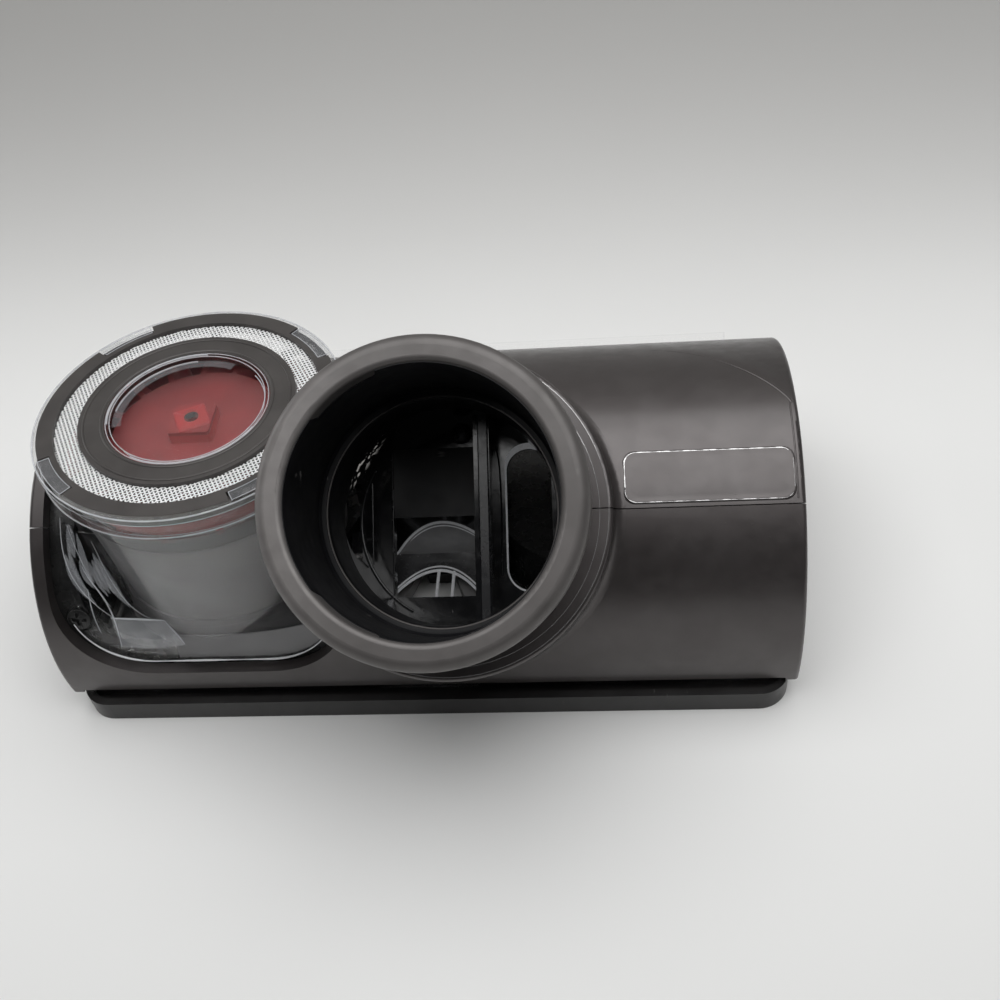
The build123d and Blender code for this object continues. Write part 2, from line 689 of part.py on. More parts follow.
# Suction duct: round duct with a back wall, a dividing rib, and a shaft down to the chamber
with BuildPart() as suction_duct:
    with BuildSketch(Plane.XY.offset(roof_top)):
        shaft_middle = (SHAFT_FRONT_Y + shaft_rear_y) / 2
        with Locations((0, shaft_middle)):
            Rectangle(
                2 * (shaft_half_width + SHAFT_WALL),
                SHAFT_FRONT_Y - shaft_rear_y + 2 * SHAFT_WALL,
            )
            Rectangle(
                2 * shaft_half_width, SHAFT_FRONT_Y - shaft_rear_y, mode=Mode.SUBTRACT
            )
    extrude(amount=DRUM_RADIUS)
    split(bisect_by=neck_plane(DUCT_START + DUCT_WALL / 2), keep=Keep.BOTTOM)
    add(neck_sleeve(duct_outer, 0, DUCT_START, duct_end))
    add(
        neck_sleeve(duct_inner, 0, DUCT_START + DUCT_WALL, duct_end), mode=Mode.SUBTRACT
    )
    rib_left = RIB_X - RIB_WIDTH / 2 - NECK_X
    rib_right = RIB_X + RIB_WIDTH / 2 - NECK_X
    with BuildSketch(neck_plane(DUCT_START)):
        Circle(duct_inner)
        with Locations(((rib_left + rib_right) / 2, 0)):
            Rectangle(RIB_WIDTH, 2 * duct_outer, mode=Mode.INTERSECT)
    extrude(amount=DUCT_WALL + RIB_DEPTH)
    with BuildSketch(neck_plane(DUCT_START)):
        left_middle = (DUCT_LEFT_EDGE - NECK_X + rib_left) / 2
        with Locations((left_middle, 0)):
            Rectangle(rib_left - DUCT_LEFT_EDGE + NECK_X, 2 * DUCT_OPENING_HALF_HEIGHT)
        arch_left = rib_right + ARCH_GAP
        arch_width = DUCT_RIGHT_EDGE - NECK_X - arch_left
        with Locations((arch_left + arch_width / 2, 0)):
            SlotOverall(2 * ARCH_HALF_HEIGHT, arch_width, rotation=90)
        Circle(duct_inner - JOINT_GAP, mode=Mode.INTERSECT)
    extrude(amount=DUCT_WALL, mode=Mode.SUBTRACT)
    with BuildSketch(Plane.XY.offset(roof_top)):
        add(case_outline(CASE_WALL + AXIAL_GAP))
    extrude(amount=cover_top + AXIAL_GAP - roof_top, mode=Mode.SUBTRACT)
    with BuildSketch(Plane.XY.offset(-DRUM_RADIUS)):
        Rectangle(4 * DRUM_RADIUS, 4 * DRUM_RADIUS)
    extrude(amount=DRUM_RADIUS + roof_top, mode=Mode.SUBTRACT)
    add(tube_zone, mode=Mode.SUBTRACT)
    add(port_zone.part, mode=Mode.SUBTRACT)

# Sole plate: flat on the floor, open under both discs, with a lip all round
with BuildPart() as sole_plate:
    with BuildSketch():
        RectangleRounded(2 * sole_half_length, 2 * sole_half_depth, SOLE_CORNER)
    extrude(amount=SOLE_LIP_HEIGHT)
    with BuildSketch(Plane.XY.offset(SOLE_THICKNESS)):
        RectangleRounded(
            2 * (sole_half_length - SOLE_LIP),
            2 * (sole_half_depth - SOLE_LIP),
            SOLE_CORNER - SOLE_LIP,
        )
    extrude(amount=SOLE_LIP_HEIGHT, mode=Mode.SUBTRACT)
    with BuildSketch():
        with Locations(left_disc, right_disc):
            Circle(disc_radius + DISC_HOLE_GAP)
        with Locations((0, shaft_middle)):
            Rectangle(2 * shaft_half_width, SHAFT_FRONT_Y - shaft_rear_y)
    extrude(amount=SOLE_THICKNESS, mode=Mode.SUBTRACT)
    with BuildSketch(Plane.XY.offset(SOLE_THICKNESS / 2)):
        with Locations((0, sole_half_depth)):
            with GridLocations(SOLE_NOTCH_PITCH, 1, SOLE_NOTCH_COUNT, 1):
                Rectangle(SOLE_NOTCH_WIDTH, 2 * SOLE_LIP)
    extrude(amount=SOLE_LIP_HEIGHT, mode=Mode.SUBTRACT)
    add(
        upright_tube(LOCK_STEM_RADIUS + RUNNING_GAP, 0, 0, SOLE_THICKNESS, (0, lock_y)),
        mode=Mode.SUBTRACT,
    )
    add(
        upright_tube(
            LOCK_HEAD_RADIUS + AXIAL_GAP, 0, 0, LOCK_HEAD_RECESS + LOCK_HEAD_HEIGHT, (0, lock_y)
        ),
        mode=Mode.SUBTRACT,
    )

# Brush chamber: clear roof and walls over the discs, with a strip that shows under the shell
with BuildPart() as brush_chamber:
    with BuildSketch(Plane.XY.offset(SOLE_THICKNESS)):
        Rectangle(2 * chamber_half_length, 2 * chamber_half_depth)
    extrude(amount=roof_top - SOLE_THICKNESS)
    with BuildSketch(Plane.XY.offset(SOLE_THICKNESS)):
        Rectangle(
            2 * (chamber_half_length - CHAMBER_WALL), 2 * (chamber_half_depth - CHAMBER_WALL)
        )
    extrude(amount=roof_bottom - SOLE_THICKNESS, mode=Mode.SUBTRACT)
    strip_depth = sole_half_depth - SOLE_LIP - CHAMBER_SIDE_GAP - chamber_half_depth
    with BuildSketch(Plane.XY.offset(STRIP_LOW)):
        with Locations((0, -chamber_half_depth - strip_depth / 2)):
            Rectangle(2 * chamber_half_length, strip_depth)
    extrude(amount=STRIP_HEIGHT)
    with BuildSketch(Plane.XY.offset(roof_bottom)):
        with Locations((0, shaft_middle)):
            Rectangle(2 * shaft_half_width, SHAFT_FRONT_Y - shaft_rear_y)
        with Locations(left_disc, right_disc):
            Circle(HUB_RADIUS + BUSH_WALL)
        with Locations((0, lock_y)):
            Circle(LOCK_STEM_RADIUS + RUNNING_GAP)
            Rectangle(LOCK_BAR_LENGTH + 2 * AXIAL_GAP, LOCK_BAR_WIDTH + 2 * AXIAL_GAP)
    extrude(amount=CHAMBER_WALL, mode=Mode.SUBTRACT)

# Gear case: floor and wall round the gears, with the cover as its lid
with BuildPart() as gear_case:
    with BuildSketch(Plane.XY.offset(roof_top)):
        add(case_outline(CASE_WALL))
    extrude(amount=cover_bottom - roof_top)
    with BuildSketch(Plane.XY.offset(case_floor_top)):
        add(case_outline(0))
    extrude(amount=cover_bottom - case_floor_top, mode=Mode.SUBTRACT)
    with BuildSketch(Plane.XY.offset(roof_top)):
        with Locations(left_disc, right_disc):
            Circle(HUB_RADIUS + BUSH_WALL)
        with Locations(left_idler, right_idler):
            Circle(IDLER_PIN_RADIUS)
        with Locations(reduction):
            Circle(REDUCTION_PIN_RADIUS)
    extrude(amount=CASE_WALL, mode=Mode.SUBTRACT)

with BuildPart() as gear_case_cover:
    with BuildSketch(Plane.XY.offset(cover_bottom)):
        add(case_outline(CASE_WALL))
        with Locations(left_disc, right_disc):
            Circle(JOURNAL_RADIUS + RUNNING_GAP, mode=Mode.SUBTRACT)
        with Locations(left_idler, right_idler):
            Circle(IDLER_PIN_RADIUS, mode=Mode.SUBTRACT)
        with Locations(reduction):
            Circle(REDUCTION_PIN_RADIUS, mode=Mode.SUBTRACT)
        with Locations(turbine_centre):
            Circle(SHAFT_RADIUS + LEVEL_GAP, mode=Mode.SUBTRACT)
    extrude(amount=COVER_THICKNESS)

# Black cradle: a frame behind the edge of the shell window, with two screw bosses
cradle_left = -DRUM_HALF_LENGTH + SHELL_WALL + JOINT_GAP
cradle_right = turbine_x + tube_clear + WINDOW_MARGIN + CRADLE_OVERLAP
cradle_low = 180 - degrees(asin((WINDOW_LOW - CRADLE_OVERLAP - DRUM_AXIS_HEIGHT) / cradle_outer))
cradle_front = degrees(acos((turbine_y + tube_clear + WINDOW_MARGIN + CRADLE_OVERLAP) / cradle_outer))
screw_x = -DRUM_HALF_LENGTH + CRADLE_SCREW_INSET
screw_seat = cradle_outer - CRADLE_SPOT_DEPTH
screw_side = turbine_x - screw_x - CRADLE_SCREW_HEAD - CRADLE_SCREW_GAP
screw_front = turbine_y + sqrt(tube_radius**2 - screw_side**2)
rear_screw_angle = 180 - degrees(asin(CRADLE_SCREW_RISE / screw_seat))
cradle_screw_angles = (rear_screw_angle, degrees(acos(screw_front / screw_seat)))
boss_radius = CRADLE_SCREW_RADIUS + CRADLE_BOSS_WALL
with BuildPart() as turbine_cradle:
    add(
        drum_band(
            cradle_outer, cradle_inner, cradle_front, cradle_low, cradle_left, cradle_right
        )
    )
    add(window_block(CRADLE_WIDTH), mode=Mode.SUBTRACT)
    for screw_angle in cradle_screw_angles:
        with BuildSketch(drum_plane(screw_x, screw_angle, screw_seat)):
            Circle(boss_radius)
        extrude(amount=-CRADLE_SCREW_DEPTH - CRADLE_BOSS_WALL)
        with BuildSketch(drum_plane(screw_x, screw_angle, screw_seat)):
            Circle(boss_radius)
        extrude(amount=SHELL_WALL, mode=Mode.SUBTRACT)
        with BuildSketch(drum_plane(screw_x, screw_angle, screw_seat)):
            Circle(CRADLE_SCREW_RADIUS)
        extrude(amount=-CRADLE_SCREW_DEPTH, mode=Mode.SUBTRACT)
    add(tube_zone, mode=Mode.SUBTRACT)
    add(neck_bay, mode=Mode.SUBTRACT)

with BuildPart() as cradle_screws:
    for screw_angle in cradle_screw_angles:
        with BuildSketch(drum_plane(screw_x, screw_angle, screw_seat)):
            Circle(CRADLE_SCREW_HEAD)
        extrude(amount=CRADLE_SCREW_HEAD_HEIGHT)
        with BuildSketch(drum_plane(screw_x, screw_angle, screw_seat)):
            Circle(CRADLE_SCREW_RADIUS)
        extrude(amount=-CRADLE_SCREW_DEPTH)

# Clear turbine housing: rim, tube and the skirt that fills the shell window
with BuildPart() as turbine_housing:
    add(
        drum_band(
            skirt_outer, cradle_outer, cradle_front, cradle_low, cradle_left, cradle_right
        )
    )
    add(window_block(SKIRT_INSET), mode=Mode.INTERSECT)
    add(upright_tube(tube_radius, 0, WINDOW_LOW + SKIRT_INSET, cover_top + JOINT_GAP, turbine_centre))
    add(drum_rod(cradle_outer, -DRUM_HALF_LENGTH, DRUM_HALF_LENGTH), mode=Mode.SUBTRACT)
    add(upright_tube(tube_radius, 0, cover_top + JOINT_GAP, rim_bottom, turbine_centre))
    add(upright_tube(rim_radius, 0, rim_bottom, rim_top, turbine_centre))
    rim_edges = turbine_housing.edges().filter_by(GeomType.CIRCLE)
    rim_edges = rim_edges.filter_by(lambda e: abs(e.radius - rim_radius) < 0.01)
    fillet(rim_edges, RIM_FILLET)
    add(upright_tube(tube_inner, 0, 0, rim_top, turbine_centre), mode=Mode.SUBTRACT)
    add(upright_tube(seat_radius, 0, ring_bottom, rim_top, turbine_centre), mode=Mode.SUBTRACT)
    with BuildSketch(Plane.XY.offset(rim_top - TAB_HEIGHT)):
        with BuildLine():
            tab_far = CenterArc(turbine_centre, seat_radius + RIM_WALL / 2, 0, 2 * TAB_HALF_ANGLE)
            tab_near = CenterArc(turbine_centre, seat_radius - TAB_REACH, 0, 2 * TAB_HALF_ANGLE)
            Line(tab_far @ 0, tab_near @ 0)
            Line(tab_far @ 1, tab_near @ 1)
        make_face()
    tab = extrude(amount=TAB_HEIGHT, mode=Mode.PRIVATE)
    for index in range(TAB_COUNT):
        tab_turn = TAB_START_ANGLE - TAB_HALF_ANGLE + index * 360 / TAB_COUNT
        add(tab.rotate(Axis((turbine_x, turbine_y, 0), (0, 0, 1)), tab_turn))
    for screw_angle in cradle_screw_angles:
        with BuildSketch(drum_plane(screw_x, screw_angle, screw_seat)):
            Circle(boss_radius + AXIAL_GAP)
        extrude(amount=SHELL_WALL, mode=Mode.SUBTRACT)
    add(neck_zone, mode=Mode.SUBTRACT)
    add(neck_bay, mode=Mode.SUBTRACT)
    add(port_zone.part, mode=Mode.SUBTRACT)

# Inlet ring with its recesses for the tabs, its mesh and its window
with BuildPart() as inlet_ring:
    with BuildSketch(Plane.XY.offset(ring_bottom)):
        with Locations(turbine_centre):
            Circle(ring_radius)
            Circle(lens_radius, mode=Mode.SUBTRACT)
    extrude(amount=RING_HEIGHT)
    mesh_top = rim_top - MESH_RECESS
    mesh_bottom = mesh_top - MESH_THICKNESS
    with BuildSketch(Plane.XY.offset(mesh_bottom)):
        with Locations(turbine_centre):
            Circle(mesh_outer)
            Circle(mesh_inner, mode=Mode.SUBTRACT)
    extrude(amount=RING_HEIGHT, mode=Mode.SUBTRACT)
    with BuildSketch(Plane.XY.offset(ring_bottom)):
        with Locations(turbine_centre):
            Circle(mesh_outer)
            Circle(mesh_inner, mode=Mode.SUBTRACT)
            with PolarLocations((mesh_outer + mesh_inner) / 2, MESH_SPOKES):
                Rectangle(mesh_outer - mesh_inner + 1, MESH_SPOKE_WIDTH, mode=Mode.SUBTRACT)
    extrude(amount=RING_HEIGHT, mode=Mode.SUBTRACT)
    for index in range(TAB_COUNT):
        recess_start = TAB_START_ANGLE - TAB_HALF_ANGLE - 1 + index * 360 / TAB_COUNT
        with BuildSketch(Plane.XY.offset(rim_top - TAB_HEIGHT)):
            with BuildLine():
                recess_far = CenterArc(turbine_centre, rim_radius, recess_start, 2 * TAB_HALF_ANGLE + 2)
                recess_near = CenterArc(
                    turbine_centre,
                    seat_radius - TAB_REACH - RING_FIT,
                    recess_start,
                    2 * TAB_HALF_ANGLE + 2,
                )
                Line(recess_far @ 0, recess_near @ 0)
                Line(recess_far @ 1, recess_near @ 1)
            make_face()
        extrude(amount=TAB_HEIGHT, mode=Mode.SUBTRACT)
    add(neck_zone, mode=Mode.SUBTRACT)

with BuildPart() as inlet_mesh:
    add(upright_tube(mesh_outer, mesh_inner, mesh_bottom, mesh_top, turbine_centre))

with BuildPart() as window_lens:
    lens_top = rim_top - LENS_RECESS
    add(upright_tube(lens_radius, 0, lens_top - LENS_THICKNESS, lens_top, turbine_centre))
    add(upright_tube(lens_radius, lens_radius - LENS_LIP, lens_top, rim_top, turbine_centre))

# Turbine shroud: tapered wall, floor, and a ribbed post that holds both bearings
with BuildPart() as turbine_shroud:
    shroud_low = shroud_radius - SHROUD_TAPER
    lower_bearing_top = cover_top + BEARING_HEIGHT
    with BuildSketch(Plane.XY.offset(cover_top)):
        with Locations(turbine_centre):
            Circle(shroud_low)
    with BuildSketch(Plane.XY.offset(shroud_top)):
        with Locations(turbine_centre):
            Circle(shroud_radius)
    loft()
    with BuildSketch(Plane.XY.offset(cover_top + SHROUD_FLOOR)):
        with Locations(turbine_centre):
            Circle(shroud_low - SHROUD_WALL)
    with BuildSketch(Plane.XY.offset(shroud_top)):
        with Locations(turbine_centre):
            Circle(shroud_radius - SHROUD_WALL)
    loft(mode=Mode.SUBTRACT)
    post_radius = BEARING_RADIUS + POST_WALL
    add(upright_tube(post_radius, 0, cover_top, post_top, turbine_centre))
    with BuildSketch(Plane.XY.offset(cover_top)):
        with Locations(turbine_centre):
            with PolarLocations((post_radius + shroud_low) / 2, POST_RIBS, start_angle=45):
                Rectangle(shroud_low - post_radius + SHROUD_WALL, SHROUD_WALL)
    extrude(amount=(post_top - cover_top) / 2)
    add(
        upright_tube(BEARING_RADIUS, 0, cover_top, lower_bearing_top, turbine_centre),
        mode=Mode.SUBTRACT,
    )
    add(
        upright_tube(BEARING_RADIUS, 0, post_top - BEARING_HEIGHT, post_top, turbine_centre),
        mode=Mode.SUBTRACT,
    )
    add(
        upright_tube(SHAFT_RADIUS + LEVEL_GAP, 0, cover_top, post_top, turbine_centre),
        mode=Mode.SUBTRACT,
    )
    add(port_zone.part, mode=Mode.SUBTRACT)

with BuildPart() as lower_bearing:
    add(
        upright_tube(
            BEARING_RADIUS, SHAFT_RADIUS + RUNNING_GAP, cover_top, lower_bearing_top, turbine_centre
        )
    )

with BuildPart() as upper_bearing:
    add(
        upright_tube(
            BEARING_RADIUS,
            SHAFT_RADIUS + RUNNING_GAP,
            post_top - BEARING_HEIGHT,
            post_top,
            turbine_centre,
        )
    )

# Turbine rotor: a shallow drum with curved blades and a square hub
with BuildPart() as turbine_rotor:
    add(upright_tube(rotor_drum_radius, 0, rotor_bottom, rotor_top, turbine_centre))
    blade_middle = (rotor_top + rotor_bottom) / 2
    blade_half = ROTOR_DEPTH / 2
    blade_plane = Plane((turbine_x, turbine_y, blade_middle), x_dir=(0, 1, 0), z_dir=(1, 0, 0))
    with BuildSketch(blade_plane.offset(rotor_drum_radius - ROTOR_WALL / 2)):
        with BuildLine():
            upper = ThreePointArc(
                (-BLADE_SWEEP / 2, -blade_half),
                (-BLADE_SWEEP / 4, blade_half / 4),
                (BLADE_SWEEP / 2, blade_half),
            )
            lower_arc = ThreePointArc(
                (-BLADE_SWEEP / 2 + BLADE_THICKNESS, -blade_half),
                (-BLADE_SWEEP / 4 + BLADE_THICKNESS, blade_half / 4),
                (BLADE_SWEEP / 2 + BLADE_THICKNESS, blade_half),
            )
            Line(upper @ 0, lower_arc @ 0)
            Line(upper @ 1, lower_arc @ 1)
        make_face()
    blade = extrude(amount=rotor_radius, mode=Mode.PRIVATE)
    for index in range(ROTOR_BLADES):
        blade_turn = index * 360 / ROTOR_BLADES
        add(blade.rotate(Axis((turbine_x, turbine_y, 0), (0, 0, 1)), blade_turn))
    add(
        upright_tube(rotor_radius, 0, rotor_bottom, rotor_top, turbine_centre), mode=Mode.INTERSECT
    )
    add(
        upright_tube(
            rotor_drum_radius - ROTOR_WALL,
            ROTOR_HUB_RADIUS,
            rotor_bottom,
            rotor_top - ROTOR_WALL,
            turbine_centre,
        ),
        mode=Mode.SUBTRACT,
    )
    with BuildSketch(Plane.XY.offset(rotor_top)):
        with Locations(turbine_centre):
            RectangleRounded(ROTOR_SQUARE, ROTOR_SQUARE, LEVEL_GAP)
    extrude(amount=ROTOR_SQUARE_HEIGHT)
    add(
        upright_tube(SHAFT_RADIUS, 0, rotor_bottom, square_top, turbine_centre), mode=Mode.SUBTRACT
    )

with BuildPart() as turbine_shaft:
    add(upright_tube(SHAFT_RADIUS, 0, high_bottom, square_top - SHAFT_RECESS, turbine_centre))

with BuildPart() as turbine_pinion:
    add(gear_body(PINION_TEETH, pinion_angle, turbine_centre, high_bottom, high_top))
    add(
        upright_tube(SHAFT_RADIUS, 0, high_bottom, high_top, turbine_centre), mode=Mode.SUBTRACT
    )

# Reduction gear: a wheel and a small gear in one piece, on a fixed pin
with BuildPart() as reduction_gear:
    add(gear_body(PINION_TEETH, small_angle, reduction, low_bottom, high_bottom))
    add(gear_body(WHEEL_TEETH, wheel_angle, reduction, high_bottom, high_top))
    add(
        upright_tube(REDUCTION_PIN_RADIUS + RUNNING_GAP, 0, low_bottom, high_top, reduction),
        mode=Mode.SUBTRACT,
    )

with BuildPart() as reduction_pin:
    add(upright_tube(REDUCTION_PIN_RADIUS, 0, roof_top, cover_top, reduction))


def idler_gear(angle, centre):
    """An idler with a spacer boss, bored for its pin."""
    with BuildPart() as gear:
        add(gear_body(IDLER_TEETH, angle, centre, low_bottom, low_top))
        add(upright_tube(IDLER_BOSS_RADIUS, 0, low_top, cover_bottom - AXIAL_GAP, centre))
        add(
            upright_tube(IDLER_PIN_RADIUS + RUNNING_GAP, 0, low_bottom, cover_bottom, centre),
            mode=Mode.SUBTRACT,
        )
    return gear.part


def disc_gear(angle, centre):
    """A disc gear with its upper journal, its hub in the bush and its square drive."""
    with BuildPart() as gear:
        add(gear_body(DISC_TEETH, angle, centre, low_bottom, low_top))
        add(upright_tube(SHOULDER_RADIUS, 0, low_top, cover_bottom - AXIAL_GAP, centre))
        add(upright_tube(JOURNAL_RADIUS, 0, cover_bottom - AXIAL_GAP, cover_top, centre))
        add(upright_tube(HUB_RADIUS, 0, hub_top, low_bottom, centre))
        with BuildSketch(Plane.XY.offset(disc_bottom + DISC_WEB)):
            with Locations(centre):
                Rectangle(DRIVE_SQUARE, DRIVE_SQUARE)
        extrude(amount=hub_top - disc_bottom - DISC_WEB)
        add(
            upright_tube(DISC_SCREW_RADIUS, 0, disc_bottom, roof_bottom, centre),
            mode=Mode.SUBTRACT,
        )
    return gear.part


def disc_bush(centre):
    """A flanged bush pressed into the floor of the gear case."""
    with BuildPart() as bush:
        outer = HUB_RADIUS + BUSH_WALL
        bore = HUB_RADIUS + RUNNING_GAP
        add(upright_tube(outer, bore, roof_bottom, case_floor_top, centre))
        flange_top = case_floor_top + BUSH_FLANGE_HEIGHT
        add(upright_tube(outer + BUSH_FLANGE, bore, case_floor_top, flange_top, centre))
    return bush.part


def tuft_spots():
    """Where the tufts stand about the disc's centre: one outer row and one on each spoke."""
    outer = disc_radius - DISC_RING / 2
    inner = (DISC_HUB_RADIUS + disc_radius - DISC_RING) / 2
    spots = []
    for index in range(TUFT_COUNT):
        turn = 2 * pi * index / TUFT_COUNT
        spots.append((outer * cos(turn), outer * sin(turn)))
    for index in range(DISC_SPOKES):
        turn = 2 * pi * index / DISC_SPOKES
        spots.append((inner * cos(turn), inner * sin(turn)))
    return spots


def tuft_rods(centre):
    """The bristle tufts of one disc, each set in its hole."""
    with BuildPart() as tufts:
        with BuildSketch(Plane.XY.offset(TUFT_FLOOR_GAP)):
            for spot in tuft_spots():
                with Locations((centre[0] + spot[0], centre[1] + spot[1])):
                    Circle(TUFT_RADIUS)
        extrude(amount=disc_bottom + TUFT_DEPTH - TUFT_FLOOR_GAP)
    return tufts.part


def brush_disc(centre):
    """A brush disc: an open wheel with a hub, spokes and a ring that holds the tufts."""
    with BuildPart() as disc:
        with BuildSketch(Plane.XY.offset(disc_bottom)):
            with Locations(centre):
                Circle(disc_radius)
                Circle(disc_radius - DISC_RING, mode=Mode.SUBTRACT)
                Circle(DISC_HUB_RADIUS)
                with PolarLocations((DISC_HUB_RADIUS + disc_radius - DISC_RING) / 2, DISC_SPOKES):
                    Rectangle(disc_radius - DISC_RING - DISC_HUB_RADIUS + 2, DISC_SPOKE_WIDTH)
        extrude(amount=DISC_THICKNESS)
        add(upright_tube(DISC_HUB_RADIUS, 0, disc_bottom, hub_top, centre))
        with BuildSketch(Plane.XY.offset(disc_bottom + DISC_WEB)):
            with Locations(centre):
                Rectangle(DRIVE_SQUARE, DRIVE_SQUARE)
        extrude(amount=DISC_HUB_HEIGHT, mode=Mode.SUBTRACT)
        add(
            upright_tube(DISC_SCREW_RADIUS, 0, disc_bottom, hub_top, centre), mode=Mode.SUBTRACT
        )
        add(tuft_rods(centre), mode=Mode.SUBTRACT)
    return disc.part


def disc_screw(centre):
    """The screw that holds a brush disc up on its square drive."""
    with BuildPart() as screw:
        head_bottom = disc_bottom - DISC_SCREW_HEAD_HEIGHT
        add(upright_tube(DISC_SCREW_HEAD, 0, head_bottom, disc_bottom, centre))
        add(upright_tube(DISC_SCREW_RADIUS, 0, disc_bottom, roof_bottom, centre))
    return screw.part


# Coin lock: a slotted head in the sole, a stem and a cross bar over the chamber roof
with BuildPart() as coin_lock:
    lock_centre = (0, lock_y)
    head_top = LOCK_HEAD_RECESS + LOCK_HEAD_HEIGHT - RUNNING_GAP
    bar_bottom = roof_top + AXIAL_GAP
    add(upright_tube(LOCK_HEAD_RADIUS, 0, LOCK_HEAD_RECESS, head_top, lock_centre))
    add(upright_tube(LOCK_STEM_RADIUS, 0, LOCK_HEAD_RECESS, bar_bottom, lock_centre))
    with BuildSketch(Plane.XY.offset(bar_bottom)):
        with Locations(lock_centre):
            Rectangle(LOCK_BAR_WIDTH, LOCK_BAR_LENGTH)
            Circle(LOCK_STEM_RADIUS)
    extrude(amount=LOCK_BAR_HEIGHT)
    with BuildSketch(Plane.XY.offset(LOCK_HEAD_RECESS)):
        with Locations(lock_centre):
            Rectangle(2 * LOCK_HEAD_RADIUS - 2 * LOCK_SLOT_WIDTH, LOCK_SLOT_WIDTH)
    extrude(amount=LOCK_SLOT_DEPTH, mode=Mode.SUBTRACT)

pieces = {
    "sole_plate": sole_plate.part,
    "brush_chamber": brush_chamber.part,
    "front_visor": front_visor.part,
    "rear_shell": rear_shell.part,
    "top_shell": top_shell.part,
    "neck_tube": neck_tube.part,
    "neck_seal": neck_seal.part,
    "suction_duct": suction_duct.part,
    "gear_case": gear_case.part,
    "gear_case_cover": gear_case_cover.part,
    "turbine_cradle": turbine_cradle.part,
    "cradle_screws": cradle_screws.part,
    "turbine_housing": turbine_housing.part,
    "inlet_ring": inlet_ring.part,
    "inlet_mesh": inlet_mesh.part,
    "window_lens": window_lens.part,
    "turbine_shroud": turbine_shroud.part,
    "lower_bearing": lower_bearing.part,
    "upper_bearing": upper_bearing.part,
    "turbine_rotor": turbine_rotor.part,
    "turbine_shaft": turbine_shaft.part,
    "turbine_pinion": turbine_pinion.part,
    "reduction_gear": reduction_gear.part,
    "reduction_pin": reduction_pin.part,
    "coin_lock": coin_lock.part,
}
for side, centre, disc_angle, idler_centre, idler_angle in (
    ("left", left_disc, left_disc_angle, left_idler, left_idler_angle),
    ("right", right_disc, right_disc_angle, right_idler, right_idler_angle),
):
    pieces[side + "_idler_gear"] = idler_gear(idler_angle, idler_centre)
    pieces[side + "_idler_pin"] = upright_tube(
        IDLER_PIN_RADIUS, 0, roof_top, cover_top, idler_centre
    )
    pieces[side + "_disc_gear"] = disc_gear(disc_angle, centre)
    pieces[side + "_disc_bush"] = disc_bush(centre)
    pieces[side + "_brush_disc"] = brush_disc(centre)
    pieces[side + "_bristles"] = tuft_rods(centre)
    pieces[side + "_disc_screw"] = disc_screw(centre)

os.makedirs("parts", exist_ok=True)
for name, piece in pieces.items():
    piece.label = name
    export_step(piece, "parts/" + name + ".step")
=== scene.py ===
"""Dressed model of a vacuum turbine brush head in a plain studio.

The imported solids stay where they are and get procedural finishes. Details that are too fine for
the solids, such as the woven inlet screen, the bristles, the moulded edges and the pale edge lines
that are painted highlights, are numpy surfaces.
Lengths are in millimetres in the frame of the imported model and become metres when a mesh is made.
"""

import logging
from dataclasses import dataclass, field
from enum import Enum
from math import cos, pi, radians, sin

import bmesh
import bpy
import numpy as np
from mathutils import Matrix, Vector


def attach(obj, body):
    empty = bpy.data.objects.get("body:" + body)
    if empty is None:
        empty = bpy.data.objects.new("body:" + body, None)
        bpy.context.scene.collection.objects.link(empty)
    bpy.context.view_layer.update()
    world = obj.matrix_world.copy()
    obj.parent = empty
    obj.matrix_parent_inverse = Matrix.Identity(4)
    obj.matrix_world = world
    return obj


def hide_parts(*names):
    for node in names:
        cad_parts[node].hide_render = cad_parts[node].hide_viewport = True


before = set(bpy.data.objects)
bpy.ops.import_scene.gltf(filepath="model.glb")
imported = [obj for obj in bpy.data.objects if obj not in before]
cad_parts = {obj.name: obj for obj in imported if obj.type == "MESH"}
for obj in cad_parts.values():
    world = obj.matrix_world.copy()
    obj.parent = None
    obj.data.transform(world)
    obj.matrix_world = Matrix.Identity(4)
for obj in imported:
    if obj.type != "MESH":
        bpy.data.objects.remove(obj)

LOG = logging.getLogger("turbine_brush_head")
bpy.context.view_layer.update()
MM = 0.001
SEED = 7

MATERIALS: dict[str, bpy.types.Material] = {}

Array = np.ndarray
Colour = tuple[float, float, float]
Pair = tuple[float, float]
Pairs = tuple[Pair, ...]
Socket = bpy.types.NodeSocket


class Body(Enum):
    """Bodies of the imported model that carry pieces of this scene."""

    HEAD = "head"
    NECK = "neck"
    TURBINE = "turbine"
    LEFT_DISC = "left_disc"
    RIGHT_DISC = "right_disc"


class Slot(Enum):
    """Material slots of the record that pieces of this scene take their finish from."""

    SHELL = "shell_grey"
    BLACK = "black_plastic"
    CLEAR = "clear_plastic"
    RING = "ring_grey"
    MESH = "mesh_white"
    SHROUD = "shroud_grey"
    ROTOR = "rotor_red"
    STEEL = "steel"
    BRISTLE = "bristle_black"


DISC_SIDES = (("left", -27.5, Body.LEFT_DISC), ("right", 27.5, Body.RIGHT_DISC))


# Shapes


@dataclass
class Surface:
    """A mesh in millimetres: points, quads and any faces with another number of corners."""

    points: Array
    quads: Array
    caps: list[list[int]] = field(default_factory=list)

    def placed(self, origin: Array, axes: Array) -> "Surface":
        """The surface with its own x, y and z laid along the three rows of axes from origin."""
        return Surface(origin + self.points @ axes, self.quads, self.caps)


